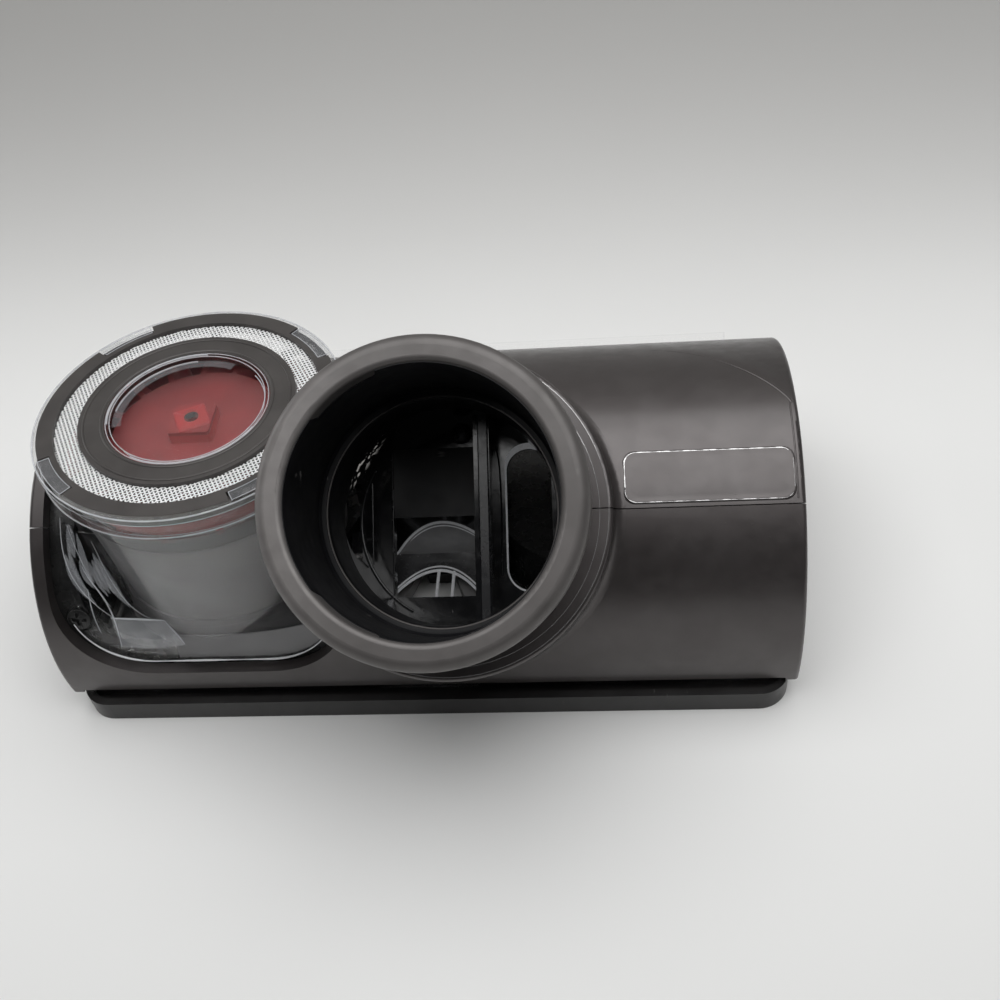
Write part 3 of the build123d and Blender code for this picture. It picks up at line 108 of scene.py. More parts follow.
def joined(parts: list[Surface]) -> Surface:
    """One surface made of several, each keeping its own points.

    Args:
        parts: the surfaces to put together.

    Returns:
        A surface with all points, quads and caps.
    """
    starts = np.cumsum([0] + [len(part.points) for part in parts[:-1]])
    caps = [
        [int(corner + start) for corner in cap]
        for part, start in zip(parts, starts)
        for cap in part.caps
    ]
    return Surface(
        np.concatenate([part.points for part in parts]),
        np.concatenate([part.quads + start for part, start in zip(parts, starts)]),
        caps,
    )


def grid_quads(
    rows: int, columns: int, round_rows: bool = False, round_columns: bool = True
) -> Array:
    """Quads between neighbours of a grid of points that is stored row by row.

    Args:
        rows: number of rows.
        columns: number of points in a row.
        round_rows: whether the last row joins the first.
        round_columns: whether a row's last point joins its first.

    Returns:
        An array of corner numbers, four to a face.
    """
    row = np.arange(rows if round_rows else rows - 1)[:, None]
    column = np.arange(columns if round_columns else columns - 1)[None, :]
    after, beside = (row + 1) % rows, (column + 1) % columns
    corners = [
        row * columns + column,
        row * columns + beside,
        after * columns + beside,
        after * columns + column,
    ]
    return np.stack(np.broadcast_arrays(*corners), axis=-1).reshape(-1, 4)


def sweep(path: Array, up: Array, section: Array, scale: Array | None = None) -> Surface:
    """A closed section carried along an open path and capped at both ends.

    A point is the path point, plus the section's first coordinate along the side direction, which
    is the path's direction crossed with up, plus its second coordinate along up.

    Args:
        path: points of the path, one a row.
        up: unit directions across the path, one a row.
        section: corners of the section.
        scale: size of the section at each path point, 1 when left out.

    Returns:
        The closed surface.
    """
    along = np.gradient(path, axis=0)
    along /= np.linalg.norm(along, axis=1, keepdims=True)
    side = np.cross(along, up)
    side /= np.linalg.norm(side, axis=1, keepdims=True)
    size = np.ones(len(path)) if scale is None else scale
    across = size[:, None, None] * section[None, :, 0, None] * side[:, None, :]
    rise = size[:, None, None] * section[None, :, 1, None] * up[:, None, :]
    points = (path[:, None, :] + across + rise).reshape(-1, 3)
    count = len(section)
    last = (len(path) - 1) * count
    caps = [list(range(count)), list(range(last + count - 1, last - 1, -1))]
    return Surface(points, grid_quads(len(path), count), caps)


def revolve(profile: Array, steps: int = 128, start: float = 0.0, stop: float = 2 * pi) -> Surface:
    """A closed profile of radius and height turned about the z axis, all the way or part of it.

    A point at angle a is (radius cos a, radius sin a, height).

    Args:
        profile: closed loop of radius and height.
        steps: number of angles.
        start: first angle.
        stop: last angle.

    Returns:
        The closed surface.
    """
    whole = stop - start > 2 * pi - 1e-6
    angle = np.linspace(start, stop, steps, endpoint=not whole)[:, None]
    points = np.stack(
        np.broadcast_arrays(
            profile[None, :, 0] * np.cos(angle),
            profile[None, :, 0] * np.sin(angle),
            profile[None, :, 1],
        ),
        axis=-1,
    ).reshape(-1, 3)
    count = len(profile)
    last = (steps - 1) * count
    caps = [] if whole else [list(range(count)), list(range(last + count - 1, last - 1, -1))]
    return Surface(points, grid_quads(steps, count, round_rows=whole), caps)


def bead(radius: float, height: float, thick: float, corners: int = 14) -> Array:
    """A round section: a radius and height plus half the thickness round a circle."""
    turn = np.linspace(0, 2 * pi, corners, endpoint=False)
    return np.stack([radius + thick / 2 * np.cos(turn), height + thick / 2 * np.sin(turn)], axis=1)


def ridge_section(width: float, height: float, root: float) -> Array:
    """A low rounded ridge: half a sine wave of the given width and height on a buried root.

    Args:
        width: width at the foot.
        height: height of the crown.
        root: depth below the surface.

    Returns:
        The corners of the section.
    """
    across = np.linspace(-0.5, 0.5, 9)
    crown = np.stack([across * width, height * np.cos(pi * across)], axis=1)
    foot = np.array([[0.5 * width, -root], [-0.5 * width, -root]])
    return np.concatenate([crown, foot])


def rounded_box(half_width: float, half_height: float, corner: float, steps: int = 10) -> Array:
    """Outline of a rectangle with round corners: a quarter circle about each corner's centre.

    Args:
        half_width: half of its width.
        half_height: half of its height.
        corner: radius of the corners.
        steps: points to a corner.

    Returns:
        The points of the outline.
    """
    quarter = np.arange(4)[:, None] * pi / 2
    turn = quarter + np.linspace(0, pi / 2, steps)
    middle = quarter + pi / 4
    across = np.sign(np.cos(middle)) * (half_width - corner) + corner * np.cos(turn)
    rise = np.sign(np.sin(middle)) * (half_height - corner) + corner * np.sin(turn)
    return np.stack([across.ravel(), rise.ravel()], axis=1)


def sheet(front: Array, back: Array) -> Surface:
    """A closed sheet: two grids of points and the faces between their rims.

    Args:
        front: rows of columns of points.
        back: the points behind them.

    Returns:
        The closed surface.
    """
    rows, columns = front.shape[:2]
    count = rows * columns
    face = grid_quads(rows, columns, round_columns=False)
    number = np.arange(count).reshape(rows, columns)
    rim = np.concatenate([number[0], number[1:, -1], number[-1, -2::-1], number[-2:0:-1, 0]])
    after = np.roll(rim, -1)
    sides = np.stack([rim, after, after + count, rim + count], axis=1)
    points = np.concatenate([front.reshape(-1, 3), back.reshape(-1, 3)])
    return Surface(points, np.concatenate([face, face[:, ::-1] + count, sides]))


def tube(path: Array, up: Array, thick: float, scale: Array | None = None) -> Surface:
    """A round bar carried along a path."""
    return sweep(path, np.broadcast_to(up, path.shape), bead(0.0, 0.0, thick, 8), scale)


def smooth(value: Array, low: float, high: float) -> Array:
    """A step from 0 to 1 between two values that starts and ends level."""
    share = np.clip((value - low) / (high - low), 0, 1)
    return share * share * (3 - 2 * share)


def spline(knots: Array, count: int) -> Array:
    """A smooth line through knots: each column is a cubic in the share of the way along.

    Args:
        knots: points to pass near, one a row.
        count: number of points of the line.

    Returns:
        The points of the line.
    """
    share = np.linspace(0, 1, len(knots))
    degree = min(3, len(knots) - 1)
    along = np.linspace(0, 1, count)
    columns = [np.polyval(np.polyfit(share, column, degree), along) for column in knots.T]
    return np.stack(columns, axis=1)


def turned(angle: float) -> Array:
    """Axes turned about z by degrees: (cos, sin, 0), (-sin, cos, 0) and (0, 0, 1)."""
    across, rise = cos(radians(angle)), sin(radians(angle))
    return np.array([[across, rise, 0], [-rise, across, 0], [0, 0, 1]])


# Places


@dataclass(frozen=True)
class Drum:
    """The shells' cylinder about a line along x."""

    radius: float = 30.0
    height: float = 10.0

    def outward(self, angle: Array) -> Array:
        """Unit directions away from the axis at angles in degrees from +y over the top."""
        turn = np.radians(angle)
        return np.stack([np.zeros_like(turn), np.cos(turn), np.sin(turn)], axis=-1)

    def points(self, x: Array, angle: Array, radius: Array | float) -> Array:
        """Points at x, an angle and a radius: (x, radius cos, height + radius sin).

        Args:
            x: places along the axis.
            angle: degrees from +y over the top.
            radius: distances from the axis.

        Returns:
            The points.
        """
        out = self.outward(angle) * np.asarray(radius)[..., None]
        out[..., 0] = x
        out[..., 2] += self.height
        return out


@dataclass(frozen=True)
class NeckFrame:
    """The wand neck's frame: u along x, v up its face and t along its axis."""

    x: float = 6.5
    height: float = 10.0
    lift: float = radians(51.0)

    def axes(self) -> Array:
        """The directions of u, v and t, one a row.

        Returns:
            A 3 by 3 array.
        """
        return np.array(
            [[1, 0, 0], [0, sin(self.lift), cos(self.lift)], [0, -cos(self.lift), sin(self.lift)]]
        )

    def origin(self) -> Array:
        """The point on the drum's axis from which t is measured."""
        return np.array([self.x, 0, self.height])

    def points(self, local: Array) -> Array:
        """Points given as u, v and t, in the model's frame."""
        return self.origin() + local @ self.axes()


# Finishes


class Shader:
    """Node tree of one finish, with the piece's own coordinates in millimetres."""

    def __init__(self, name: str) -> None:
        """Starts a material with a principled shader and object coordinates.

        Args:
            name: the material's name.
        """
        self.material = bpy.data.materials.new(name)
        self.material.use_nodes = True
        self.tree = self.material.node_tree
        self.tree.nodes.clear()
        self.output = self.tree.nodes.new("ShaderNodeOutputMaterial")
        self.surface = self.tree.nodes.new("ShaderNodeBsdfPrincipled")
        self.tree.links.new(self.surface.outputs["BSDF"], self.output.inputs["Surface"])
        place = self.tree.nodes.new("ShaderNodeTexCoord")
        self.place = self.mapped(place.outputs["Object"], (1 / MM, 1 / MM, 1 / MM))
        self.bumps: Socket | None = None

    def mapped(self, vector: Socket, scale: Colour) -> Socket:
        """The vector with each coordinate scaled.

        Args:
            vector: the coordinates.
            scale: a factor for each of them.

        Returns:
            The scaled coordinates.
        """
        node = self.tree.nodes.new("ShaderNodeMapping")
        node.inputs["Scale"].default_value = scale
        self.tree.links.new(vector, node.inputs["Vector"])
        return node.outputs["Vector"]

    def noise(
        self, scale: float, detail: float = 3.0, stretch: Colour = (1, 1, 1)
    ) -> Socket:
        """Noise from 0 to 1 with the given number of waves to a millimetre.

        Args:
            scale: waves to a millimetre.
            detail: octaves of finer noise.
            stretch: a factor for each coordinate.

        Returns:
            The noise.
        """
        node = self.tree.nodes.new("ShaderNodeTexNoise")
        node.inputs["Scale"].default_value = scale
        node.inputs["Detail"].default_value = detail
        place = self.place if stretch == (1, 1, 1) else self.mapped(self.place, stretch)
        self.tree.links.new(place, node.inputs["Vector"])
        return node.outputs["Fac"]

    def cells(self, scale: float) -> Socket:
        """Distance to the nearest of scattered points, with the given number to a millimetre.

        Args:
            scale: points to a millimetre.

        Returns:
            The distance.
        """
        node = self.tree.nodes.new("ShaderNodeTexVoronoi")
        node.inputs["Scale"].default_value = scale
        self.tree.links.new(self.place, node.inputs["Vector"])
        return node.outputs["Distance"]

    def maths(self, operation: str, first: object, second: object = 0.0) -> Socket:
        """A math node on two values, each a socket or a number.

        Args:
            operation: the node's operation.
            first: the first value.
            second: the second value.

        Returns:
            The result.
        """
        node = self.tree.nodes.new("ShaderNodeMath")
        node.operation = operation
        self.feed(node.inputs[0], first)
        self.feed(node.inputs[1], second)
        return node.outputs[0]

    def along(self, direction: Array, offset: float) -> Socket:
        """Distance of a point along a direction, less an offset.

        Args:
            direction: a unit direction.
            offset: what is taken off.

        Returns:
            The distance in millimetres.
        """
        node = self.tree.nodes.new("ShaderNodeVectorMath")
        node.operation = "DOT_PRODUCT"
        self.tree.links.new(self.place, node.inputs[0])
        node.inputs[1].default_value = direction
        return self.maths("SUBTRACT", node.outputs["Value"], offset)

    def ramp(
        self, value: object, low: float, high: float, start: float = 0.0, stop: float = 1.0
    ) -> Socket:
        """A smooth change from start to stop as the value goes from low to high.

        Args:
            value: what the change follows.
            low: where it begins.
            high: where it ends.
            start: result at low.
            stop: result at high.

        Returns:
            The result.
        """
        node = self.tree.nodes.new("ShaderNodeMapRange")
        node.interpolation_type = "SMOOTHSTEP"
        self.feed(node.inputs["Value"], value)
        names = ("From Min", "From Max", "To Min", "To Max")
        for name, number in zip(names, (low, high, start, stop)):
            node.inputs[name].default_value = number
        return node.outputs["Result"]

    def mixed(self, share: object, first: object, second: object) -> Socket:
        """A colour between two, each a socket or a colour.

        Args:
            share: share of the second colour.
            first: a colour or a socket.
            second: a colour or a socket.

        Returns:
            The mixed colour.
        """
        node = self.tree.nodes.new("ShaderNodeMix")
        node.data_type = "RGBA"
        self.feed(node.inputs["Factor"], share)
        self.feed(node.inputs[6], first)
        self.feed(node.inputs[7], second)
        return node.outputs[2]

    def bump(self, height: Socket, depth: float) -> None:
        """Adds a bump of the given depth in millimetres on top of those already there.

        Args:
            height: relief from 0 to 1.
            depth: its depth in millimetres.
        """
        node = self.tree.nodes.new("ShaderNodeBump")
        node.inputs["Strength"].default_value = 1.0
        node.inputs["Distance"].default_value = depth * MM
        self.tree.links.new(height, node.inputs["Height"])
        if self.bumps is not None:
            self.tree.links.new(self.bumps, node.inputs["Normal"])
        self.bumps = node.outputs["Normal"]
        self.tree.links.new(self.bumps, self.surface.inputs["Normal"])

    def feed(self, socket: Socket, value: object) -> None:
        """Links a socket or sets a number or colour on an input.

        Args:
            socket: the input.
            value: a socket, a number or a colour.
        """
        if isinstance(value, Socket):
            self.tree.links.new(value, socket)
        elif isinstance(value, tuple):
            socket.default_value = (*value, 1.0)
        else:
            socket.default_value = value

    def set(self, name: str, value: object) -> None:
        """Feeds one of the principled shader's inputs."""
        self.feed(self.surface.inputs[name], value)


@dataclass(frozen=True)
class Finish:
    """A moulded finish: two tones, gloss that varies a little and a fine moulded skin."""

    name: str
    tone: Colour
    second: Colour
    gloss: Pair = (0.35, 0.45)
    metallic: float = 0.0
    coat: float = 0.0
    mottle: float = 0.16
    skin: float = 1.6
    skin_depth: float = 0.006
    shine: float = 0.5
    # Glow: strength of an emission in the finish's own tone, which paints light on a part that is
    # no lamp.
    glow: float = 0.0
    cover: float = 1.0
    coat_gloss: float = 0.22

    def material(self) -> bpy.types.Material:
        """The finish's material, made the first time that it is asked for.

        Returns:
            The material.
        """
        if self.name not in MATERIALS:
            shader = Shader(self.name)
            self.dress(shader)
            MATERIALS[self.name] = shader.material
        return MATERIALS[self.name]

    def colour(self, shader: Shader) -> Socket:
        """The two tones, mixed by a slow mottle."""
        blotch = shader.ramp(shader.noise(self.mottle, 4.0), 0.3, 0.7)
        return shader.mixed(blotch, self.tone, self.second)

    def dress(self, shader: Shader) -> None:
        """Lays tones, gloss and skin on the shader.

        Args:
            shader: the shader to dress.
        """
        shader.set("Base Color", self.colour(shader))
        shader.set("Roughness", shader.ramp(shader.noise(self.mottle * 2.5), 0.3, 0.7, *self.gloss))
        shader.set("Metallic", self.metallic)
        shader.set("Coat Weight", self.coat)
        shader.set("Coat Roughness", self.coat_gloss)
        shader.set("Specular IOR Level", self.shine)
        shader.set("Alpha", self.cover)
        # Painted light: the part glows in its own tone by the glow's strength.
        shader.set("Emission Color", self.tone)
        shader.set("Emission Strength", self.glow)
        shader.bump(shader.noise(self.skin, 2.0), self.skin_depth)


@dataclass(frozen=True)
class ShellFinish(Finish):
    """Metallic grey shell: a soft facet behind a crease, long ripples and specks."""

    crease_slope: float = 2.4
    crease_reach: float = 14.0
    crease_start: Pair = (37.0, 11.5)
    crease_bend: float = 0.048
    crease_drop: float = 16.5
    crease_fade: Pair = (36.0, 46.0)

    def dress(self, shader: Shader) -> None:
        """Adds the facet, the ripples and the specks to the moulded skin.

        Args:
            shader: the shader to dress.
        """
        super().dress(shader)
        separate = shader.tree.nodes.new("ShaderNodeSeparateXYZ")
        shader.tree.links.new(shader.place, separate.inputs[0])
        start_x, start_y = self.crease_start
        past = shader.maths("SUBTRACT", separate.outputs["X"], start_x)
        bow = shader.maths("POWER", shader.maths("MULTIPLY", past, self.crease_bend), 2.0)
        line = shader.maths("SUBTRACT", start_y, shader.maths("MULTIPLY", bow, self.crease_drop))
        behind = shader.maths("SUBTRACT", separate.outputs["Y"], line)
        facet = shader.ramp(behind, 0.0, self.crease_reach)
        right = shader.ramp(separate.outputs["X"], *self.crease_fade)
        shader.bump(shader.maths("MULTIPLY", facet, right), -self.crease_slope)
        shader.bump(shader.noise(0.09, 1.0, (0.6, 1, 1)), 0.05)
        speck = shader.ramp(shader.cells(0.55), 0.035, 0.06, 1.0, 0.0)
        shader.bump(speck, 0.012)


@dataclass(frozen=True)
class NeckFinish(Finish):
    """Satin grey neck with a smooth pale band on the left crest of its lip: wear and a painted
    highlight.
    """

    coat_gloss: float = 0.2
    # Pale tone of the left crest: wear and a painted highlight.
    wear_with_highlight: Colour = (0.40, 0.38, 0.37)
    crest_highlight_reach: Pair = (52.6, 55.3)
    crest_highlight_side: Pair = (-19.0, -6.0)
    crest_highlight_share: float = 0.27

    def colour(self, shader: Shader) -> Socket:
        """The tones with the pale band, wear and a painted highlight, which grows towards the mouth
        and fades to the right.

        Args:
            shader: the shader to dress.

        Returns:
            The colour.
        """
        place = NeckFrame()
        axis = place.axes()[2]
        reach = shader.along(axis, float(place.origin() @ axis))
        mouth = shader.ramp(reach, *self.crest_highlight_reach)
        wear_highlight_mask = shader.ramp(shader.noise(0.3), 0.25, 0.75, 0.55, 1.0)
        side = shader.along(np.array([1.0, 0.0, 0.0]), place.x)
        left = shader.ramp(side, *self.crest_highlight_side, self.crest_highlight_share, 0.0)
        # Painted highlight that also stands for wear: paler towards the mouth on the left.
        pale_wear_highlight = shader.maths("MULTIPLY", shader.maths("MULTIPLY", mouth, wear_highlight_mask), left)
        return shader.mixed(pale_wear_highlight, super().colour(shader), self.wear_with_highlight)

    def dress(self, shader: Shader) -> None:
        """Adds a slow ripple to the moulded skin."""
        super().dress(shader)
        shader.bump(shader.noise(0.5), 0.012)


@dataclass(frozen=True)
class ScuffedFinish(Finish):
    """Black plastic with pale hairline scuffs and, on the duct, a patch of scuffs painted pale and
    glowing as painted glints.
    """

    scuff: Colour = (0.16, 0.155, 0.15)
    share: float = 0.7
    # Pale tone of the glinting scuffs: wear, painted up into painted glints.
    pale_wear_highlight: Colour = (0.62, 0.60, 0.57)
    glint_scuff_place: Colour = (-7.2, -8.4, 34.6)
    glint_scuff_reach: float = 0.0

    def dress(self, shader: Shader) -> None:
        """Lays two crossing sets of scuffs over the black and roughens it along them.

        Args:
            shader: the shader to dress.
        """
        base = self.colour(shader)
        slanted = shader.noise(0.9, 5.0, (0.12, 1.0, 0.35))
        steep = shader.noise(1.1, 5.0, (1.0, 0.3, 0.1))
        hair = shader.maths(
            "MAXIMUM",
            shader.ramp(slanted, self.share, self.share + 0.06),
            shader.ramp(steep, self.share, self.share + 0.05),
        )
        patch = shader.ramp(shader.noise(0.12), 0.48, 0.66)
        wear_with_highlight = shader.maths("MULTIPLY", hair, patch)
        base = shader.mixed(wear_with_highlight, base, self.scuff)
        # On the duct the scuffs are painted pale and made to glow: painted glints, also standing
        # for wear.
        if self.glint_scuff_reach:
            glinting_scuffs = self.wear_highlight_mask(shader)
            base = shader.mixed(glinting_scuffs, base, self.pale_wear_highlight)
            shader.set("Emission Color", shader.mixed(glinting_scuffs, (0.0, 0.0, 0.0), self.pale_wear_highlight))
            shader.set("Emission Strength", self.glow)
            wear_with_highlight = shader.maths("ADD", wear_with_highlight, glinting_scuffs)
        shader.set("Base Color", base)
        dull = shader.maths("ADD", shader.noise(0.5), wear_with_highlight)
        shader.set("Roughness", shader.ramp(dull, 0.3, 1.2, *self.gloss))
        shader.set("Coat Weight", self.coat)
        shader.set("Specular IOR Level", self.shine)
        shader.bump(shader.noise(self.skin, 2.0), self.skin_depth)
        shader.bump(wear_with_highlight, 0.01)

    def wear_highlight_mask(self, shader: Shader) -> Socket:
        """A patch of short scuffs about one place, painted pale and glowing as painted glints.

        Args:
            shader: the shader to dress.

        Returns:
            The share of painted glint, from 0 to 1.
        """
        node = shader.tree.nodes.new("ShaderNodeVectorMath")
        node.operation = "DISTANCE"
        shader.tree.links.new(shader.place, node.inputs[0])
        node.inputs[1].default_value = self.glint_scuff_place
        near = shader.ramp(
            node.outputs["Value"], 0.4 * self.glint_scuff_reach, self.glint_scuff_reach, 1.0, 0.0
        )
        glinting_scuffs = shader.ramp(shader.noise(1.6, 5.0, (0.8, 0.35, 0.5)), 0.56, 0.64)
        return shader.maths("MULTIPLY", near, glinting_scuffs)


@dataclass(frozen=True)
class ClearFinish(Finish):
    """Clear moulding: thin enough to see through, with flow waves and faint handling haze."""

    see: float = 0.16
    bend: float = 1.45
    wave: float = 0.018

    def dress(self, shader: Shader) -> None:
        """Sets the clear body and bumps it with flow waves.

        Args:
            shader: the shader to dress.
        """
        haze = shader.ramp(shader.noise(0.35, 4.0), 0.45, 0.75)
        shader.set("Base Color", shader.mixed(haze, self.tone, self.second))
        shader.set("Roughness", shader.ramp(haze, 0.0, 1.0, *self.gloss))
        shader.set("Transmission Weight", 1.0)
        shader.set("IOR", self.bend)
        shader.set("Alpha", self.see)
        shader.bump(shader.noise(0.22, 1.5), self.wave)
        shader.bump(shader.noise(self.skin, 2.0), self.skin_depth)


@dataclass(frozen=True)
class MetalFinish(Finish):
    """Turned metal: fine rings of tone and gloss along z."""

    def dress(self, shader: Shader) -> None:
        """Lays turned rings over the metal.

        Args:
            shader: the shader to dress.
        """
        rings = shader.noise(1.0, 4.0, (0.4, 0.4, 9.0))
        shader.set(
            "Base Color", shader.mixed(shader.ramp(rings, 0.35, 0.65), self.tone, self.second)
        )
        shader.set("Roughness", shader.ramp(rings, 0.3, 0.7, *self.gloss))
        shader.set("Metallic", 1.0)
        shader.bump(rings, self.skin_depth)


class Finishes(Enum):
    """The finishes of this object."""

    SHELL = ShellFinish(
        "shell_metallic_grey", (0.066, 0.058, 0.057), (0.077, 0.069, 0.068), (0.36, 0.44), 0.65, 0.5
    )
    NECK = NeckFinish(
        "neck_satin_grey", (0.098, 0.091, 0.088), (0.116, 0.108, 0.105), (0.44, 0.54), 0.45, 0.1
    )
    SOLE = ScuffedFinish("sole_black", (0.016, 0.015, 0.015), (0.024, 0.023, 0.023), (0.3, 0.5))
    # Its patch of scuffs on the left wall is painted pale and glows: painted glints.
    DUCT = ScuffedFinish(
        "duct_black", (0.005, 0.005, 0.006), (0.009, 0.009, 0.010), (0.09, 0.3), share=0.68,
        glint_scuff_reach=5.5, glow=0.35
    )
    LINER = ScuffedFinish(
        "liner_black", (0.006, 0.006, 0.007), (0.011, 0.011, 0.012), (0.4, 0.55), share=0.68,
        shine=0.2
    )
    CASE = ScuffedFinish("case_black", (0.010, 0.010, 0.010), (0.016, 0.016, 0.016), (0.25, 0.45))
    CLEAR = ClearFinish(
        "clear_moulding", (0.97, 0.965, 0.965), (0.92, 0.915, 0.915), (0.0, 0.05), skin_depth=0.001
    )
    RING = Finish("ring_dark_grey", (0.058, 0.053, 0.051), (0.075, 0.069, 0.066), (0.33, 0.43), 0.3)
    MESH = Finish(
        "screen_white", (0.9, 0.9, 0.9), (0.96, 0.96, 0.96), (0.5, 0.65), mottle=1.2, skin=6.0
    )
    SHROUD = Finish(
        "shroud_blue_grey", (0.118, 0.115, 0.118), (0.144, 0.141, 0.145), (0.4, 0.5),
        skin_depth=0.001
    )
    # A darker copy of the shroud's grey: a painted shadow band under the rim, which also hides the
    # blade tips.
    SHADOW_BAND = Finish(
        "shroud_painted_shadow_band", (0.06, 0.06, 0.064), (0.075, 0.075, 0.08), (0.4, 0.5), skin_depth=0.001
    )
    ROTOR = Finish(
        "rotor_deep_red", (0.20, 0.018, 0.020), (0.25, 0.024, 0.026), (0.28, 0.4), coat=0.2
    )
    # Whitish half-covering tone for edges of the clear moulding: painted highlights.
    EDGE = Finish(
        "clear_bright_edge", (0.70, 0.72, 0.76), (0.86, 0.88, 0.91), (0.08, 0.2), coat=0.5,
        cover=0.42, mottle=0.5
    )
    # Faint whitish film for the skirt's corner fold and streaks: painted reflections.
    PAINTED_REFLECTION = Finish(
        "clear_painted_reflection", (0.62, 0.64, 0.68), (0.86, 0.88, 0.91), (0.1, 0.25), coat=0.5, cover=0.16,
        mottle=0.5
    )
    # Faint whitish film: painted light over the tabs' shaded pockets and painted highlights on the
    # lens.
    PAINTED_GLEAM = Finish(
        "clear_painted_gleam", (0.62, 0.64, 0.68), (0.86, 0.88, 0.91), (0.1, 0.25), coat=0.5, cover=0.07,
        mottle=0.5
    )
    VEIL = Finish(
        "shroud_seen_through", (0.26, 0.257, 0.262), (0.29, 0.287, 0.292), (0.35, 0.45), cover=0.65,
        skin_depth=0.001
    )
    # A lighter copy of the rotor's red with a faint glow: painted light on the hub's shaded sides.
    HUB = Finish(
        "rotor_hub_lit_red", (0.32, 0.023, 0.025), (0.37, 0.028, 0.030), (0.3, 0.4), coat=0.2, glow=0.02
    )
    # Pale, faintly glowing stand-in for clear edges in the throat's shade: painted reflections.
    LIT = Finish(
        "lit_clear_edge", (0.62, 0.63, 0.65), (0.74, 0.75, 0.77), (0.15, 0.3), coat=0.4, mottle=0.6,
        glow=0.12
    )
    # Pale polished grey for fine beads where highlights fall: painted highlights, whose gloss also
    # catches the lamps.
    BRIGHT = Finish(
        "polished_edge_highlight", (0.50, 0.49, 0.49), (0.62, 0.61, 0.61), (0.10, 0.2), 0.7, mottle=0.8
    )
    # Pale opaque tone for the skirt's lower edge: a painted highlight.
    BEVEL = Finish(
        "pale_bevel", (0.62, 0.63, 0.65), (0.74, 0.75, 0.77), (0.15, 0.3), coat=0.4, mottle=0.6
    )
    THROAT = Finish(
        "throat_grey", (0.25, 0.25, 0.255), (0.31, 0.31, 0.315), (0.12, 0.22), coat=0.5, mottle=0.3,
        glow=0.05
    )
    RIB = Finish(
        "rib_dark_grey", (0.014, 0.014, 0.016), (0.020, 0.020, 0.022), (0.2, 0.3), coat=0.15
    )
    SHELF = Finish(
        "throat_shelf_grey", (0.05, 0.05, 0.052), (0.075, 0.075, 0.078), (0.15, 0.3), coat=0.4,
        mottle=0.3, glow=0.03
    )
    STEEL = MetalFinish(
        "turned_steel", (0.42, 0.42, 0.43), (0.56, 0.56, 0.57), (0.22, 0.36), skin_depth=0.004
    )
    BRASS = MetalFinish(
        "turned_brass", (0.60, 0.41, 0.17), (0.70, 0.50, 0.23), (0.22, 0.36), skin_depth=0.004
    )
    GEAR = Finish("gear_ivory", (0.58, 0.54, 0.44), (0.66, 0.62, 0.52), (0.38, 0.5))
    DISC = Finish("brush_disc_grey", (0.22, 0.215, 0.215), (0.26, 0.255, 0.255), (0.38, 0.5))
    BRISTLE = Finish(
        "bristle_nylon", (0.012, 0.012, 0.013), (0.03, 0.03, 0.032), (0.35, 0.5), mottle=2.5,
        skin=8.0
    )
    RUBBER = Finish(
        "seal_soft_black", (0.014, 0.014, 0.014), (0.022, 0.022, 0.022), (0.6, 0.75), skin=3.0,
        skin_depth=0.012
    )


NODE_FINISHES: dict[Finishes, tuple[str, ...]] = {
    Finishes.SHELL: ("rear_shell", "top_shell"),
    Finishes.NECK: ("neck_tube",),
    Finishes.SOLE: ("sole_plate",),
    Finishes.DUCT: ("suction_duct",),
    Finishes.CASE: ("gear_case", "gear_case_cover", "turbine_cradle"),
    Finishes.CLEAR: ("brush_chamber", "front_visor", "turbine_housing", "window_lens"),
    Finishes.RING: ("inlet_ring",),
    Finishes.SHROUD: ("turbine_shroud",),
    Finishes.ROTOR: ("turbine_rotor",),
    Finishes.STEEL: (
        "turbine_shaft",
        "reduction_pin",
        "left_idler_pin",
        "right_idler_pin",
        "upper_bearing",
        "lower_bearing",
    ),
    Finishes.BRASS: ("left_disc_bush", "right_disc_bush", "turbine_pinion"),
    Finishes.GEAR: (
        "reduction_gear",
        "left_idler_gear",
        "right_idler_gear",
        "left_disc_gear",
        "right_disc_gear",
    ),
    Finishes.DISC: ("left_brush_disc", "right_brush_disc", "coin_lock"),
    Finishes.RUBBER: ("neck_seal",),
}


def dress_solids() -> None:
    """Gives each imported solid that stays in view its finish."""
    for finish, names in NODE_FINISHES.items():
        material = finish.value.material()
        for name in names:
            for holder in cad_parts[name].material_slots:
                holder.material = material


def put_piece(
    name: str,
    surface: Surface,
    finish: Finishes,
    body: Body,
    stands_for: tuple[str, ...] = (),
    sharp: float = 38.0,
) -> bpy.types.Object:
    """Makes an object of a surface, faces outwards, and sets it on its body.

    Args:
        name: the piece's name.
        surface: its shape in millimetres.
        finish: its finish.
        body: the body that it rides on.
        stands_for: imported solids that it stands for.
        sharp: angle in degrees past which an edge is shaded sharp.

    Returns:
        The object.
    """
    mesh = bpy.data.meshes.new(name)
    mesh.from_pydata((surface.points * MM).tolist(), [], surface.quads.tolist() + surface.caps)
    shape = bmesh.new()
    shape.from_mesh(mesh)
    bmesh.ops.remove_doubles(shape, verts=shape.verts, dist=1e-7)
    bmesh.ops.dissolve_degenerate(shape, edges=shape.edges, dist=1e-8)
    bmesh.ops.recalc_face_normals(shape, faces=shape.faces)
    shape.to_mesh(mesh)
    shape.free()
    mesh.polygons.foreach_set("use_smooth", np.ones(len(mesh.polygons), dtype=bool))
    mesh.set_sharp_from_angle(angle=radians(sharp))
    mesh.materials.append(finish.value.material())
    piece = bpy.data.objects.new(name, mesh)
    bpy.context.scene.collection.objects.link(piece)
    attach(piece, body.value)
    if stands_for:
        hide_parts(*stands_for)
    LOG.info("%s: %d faces on %s", name, len(mesh.polygons), body.value)
    return piece


# Sub-assemblies


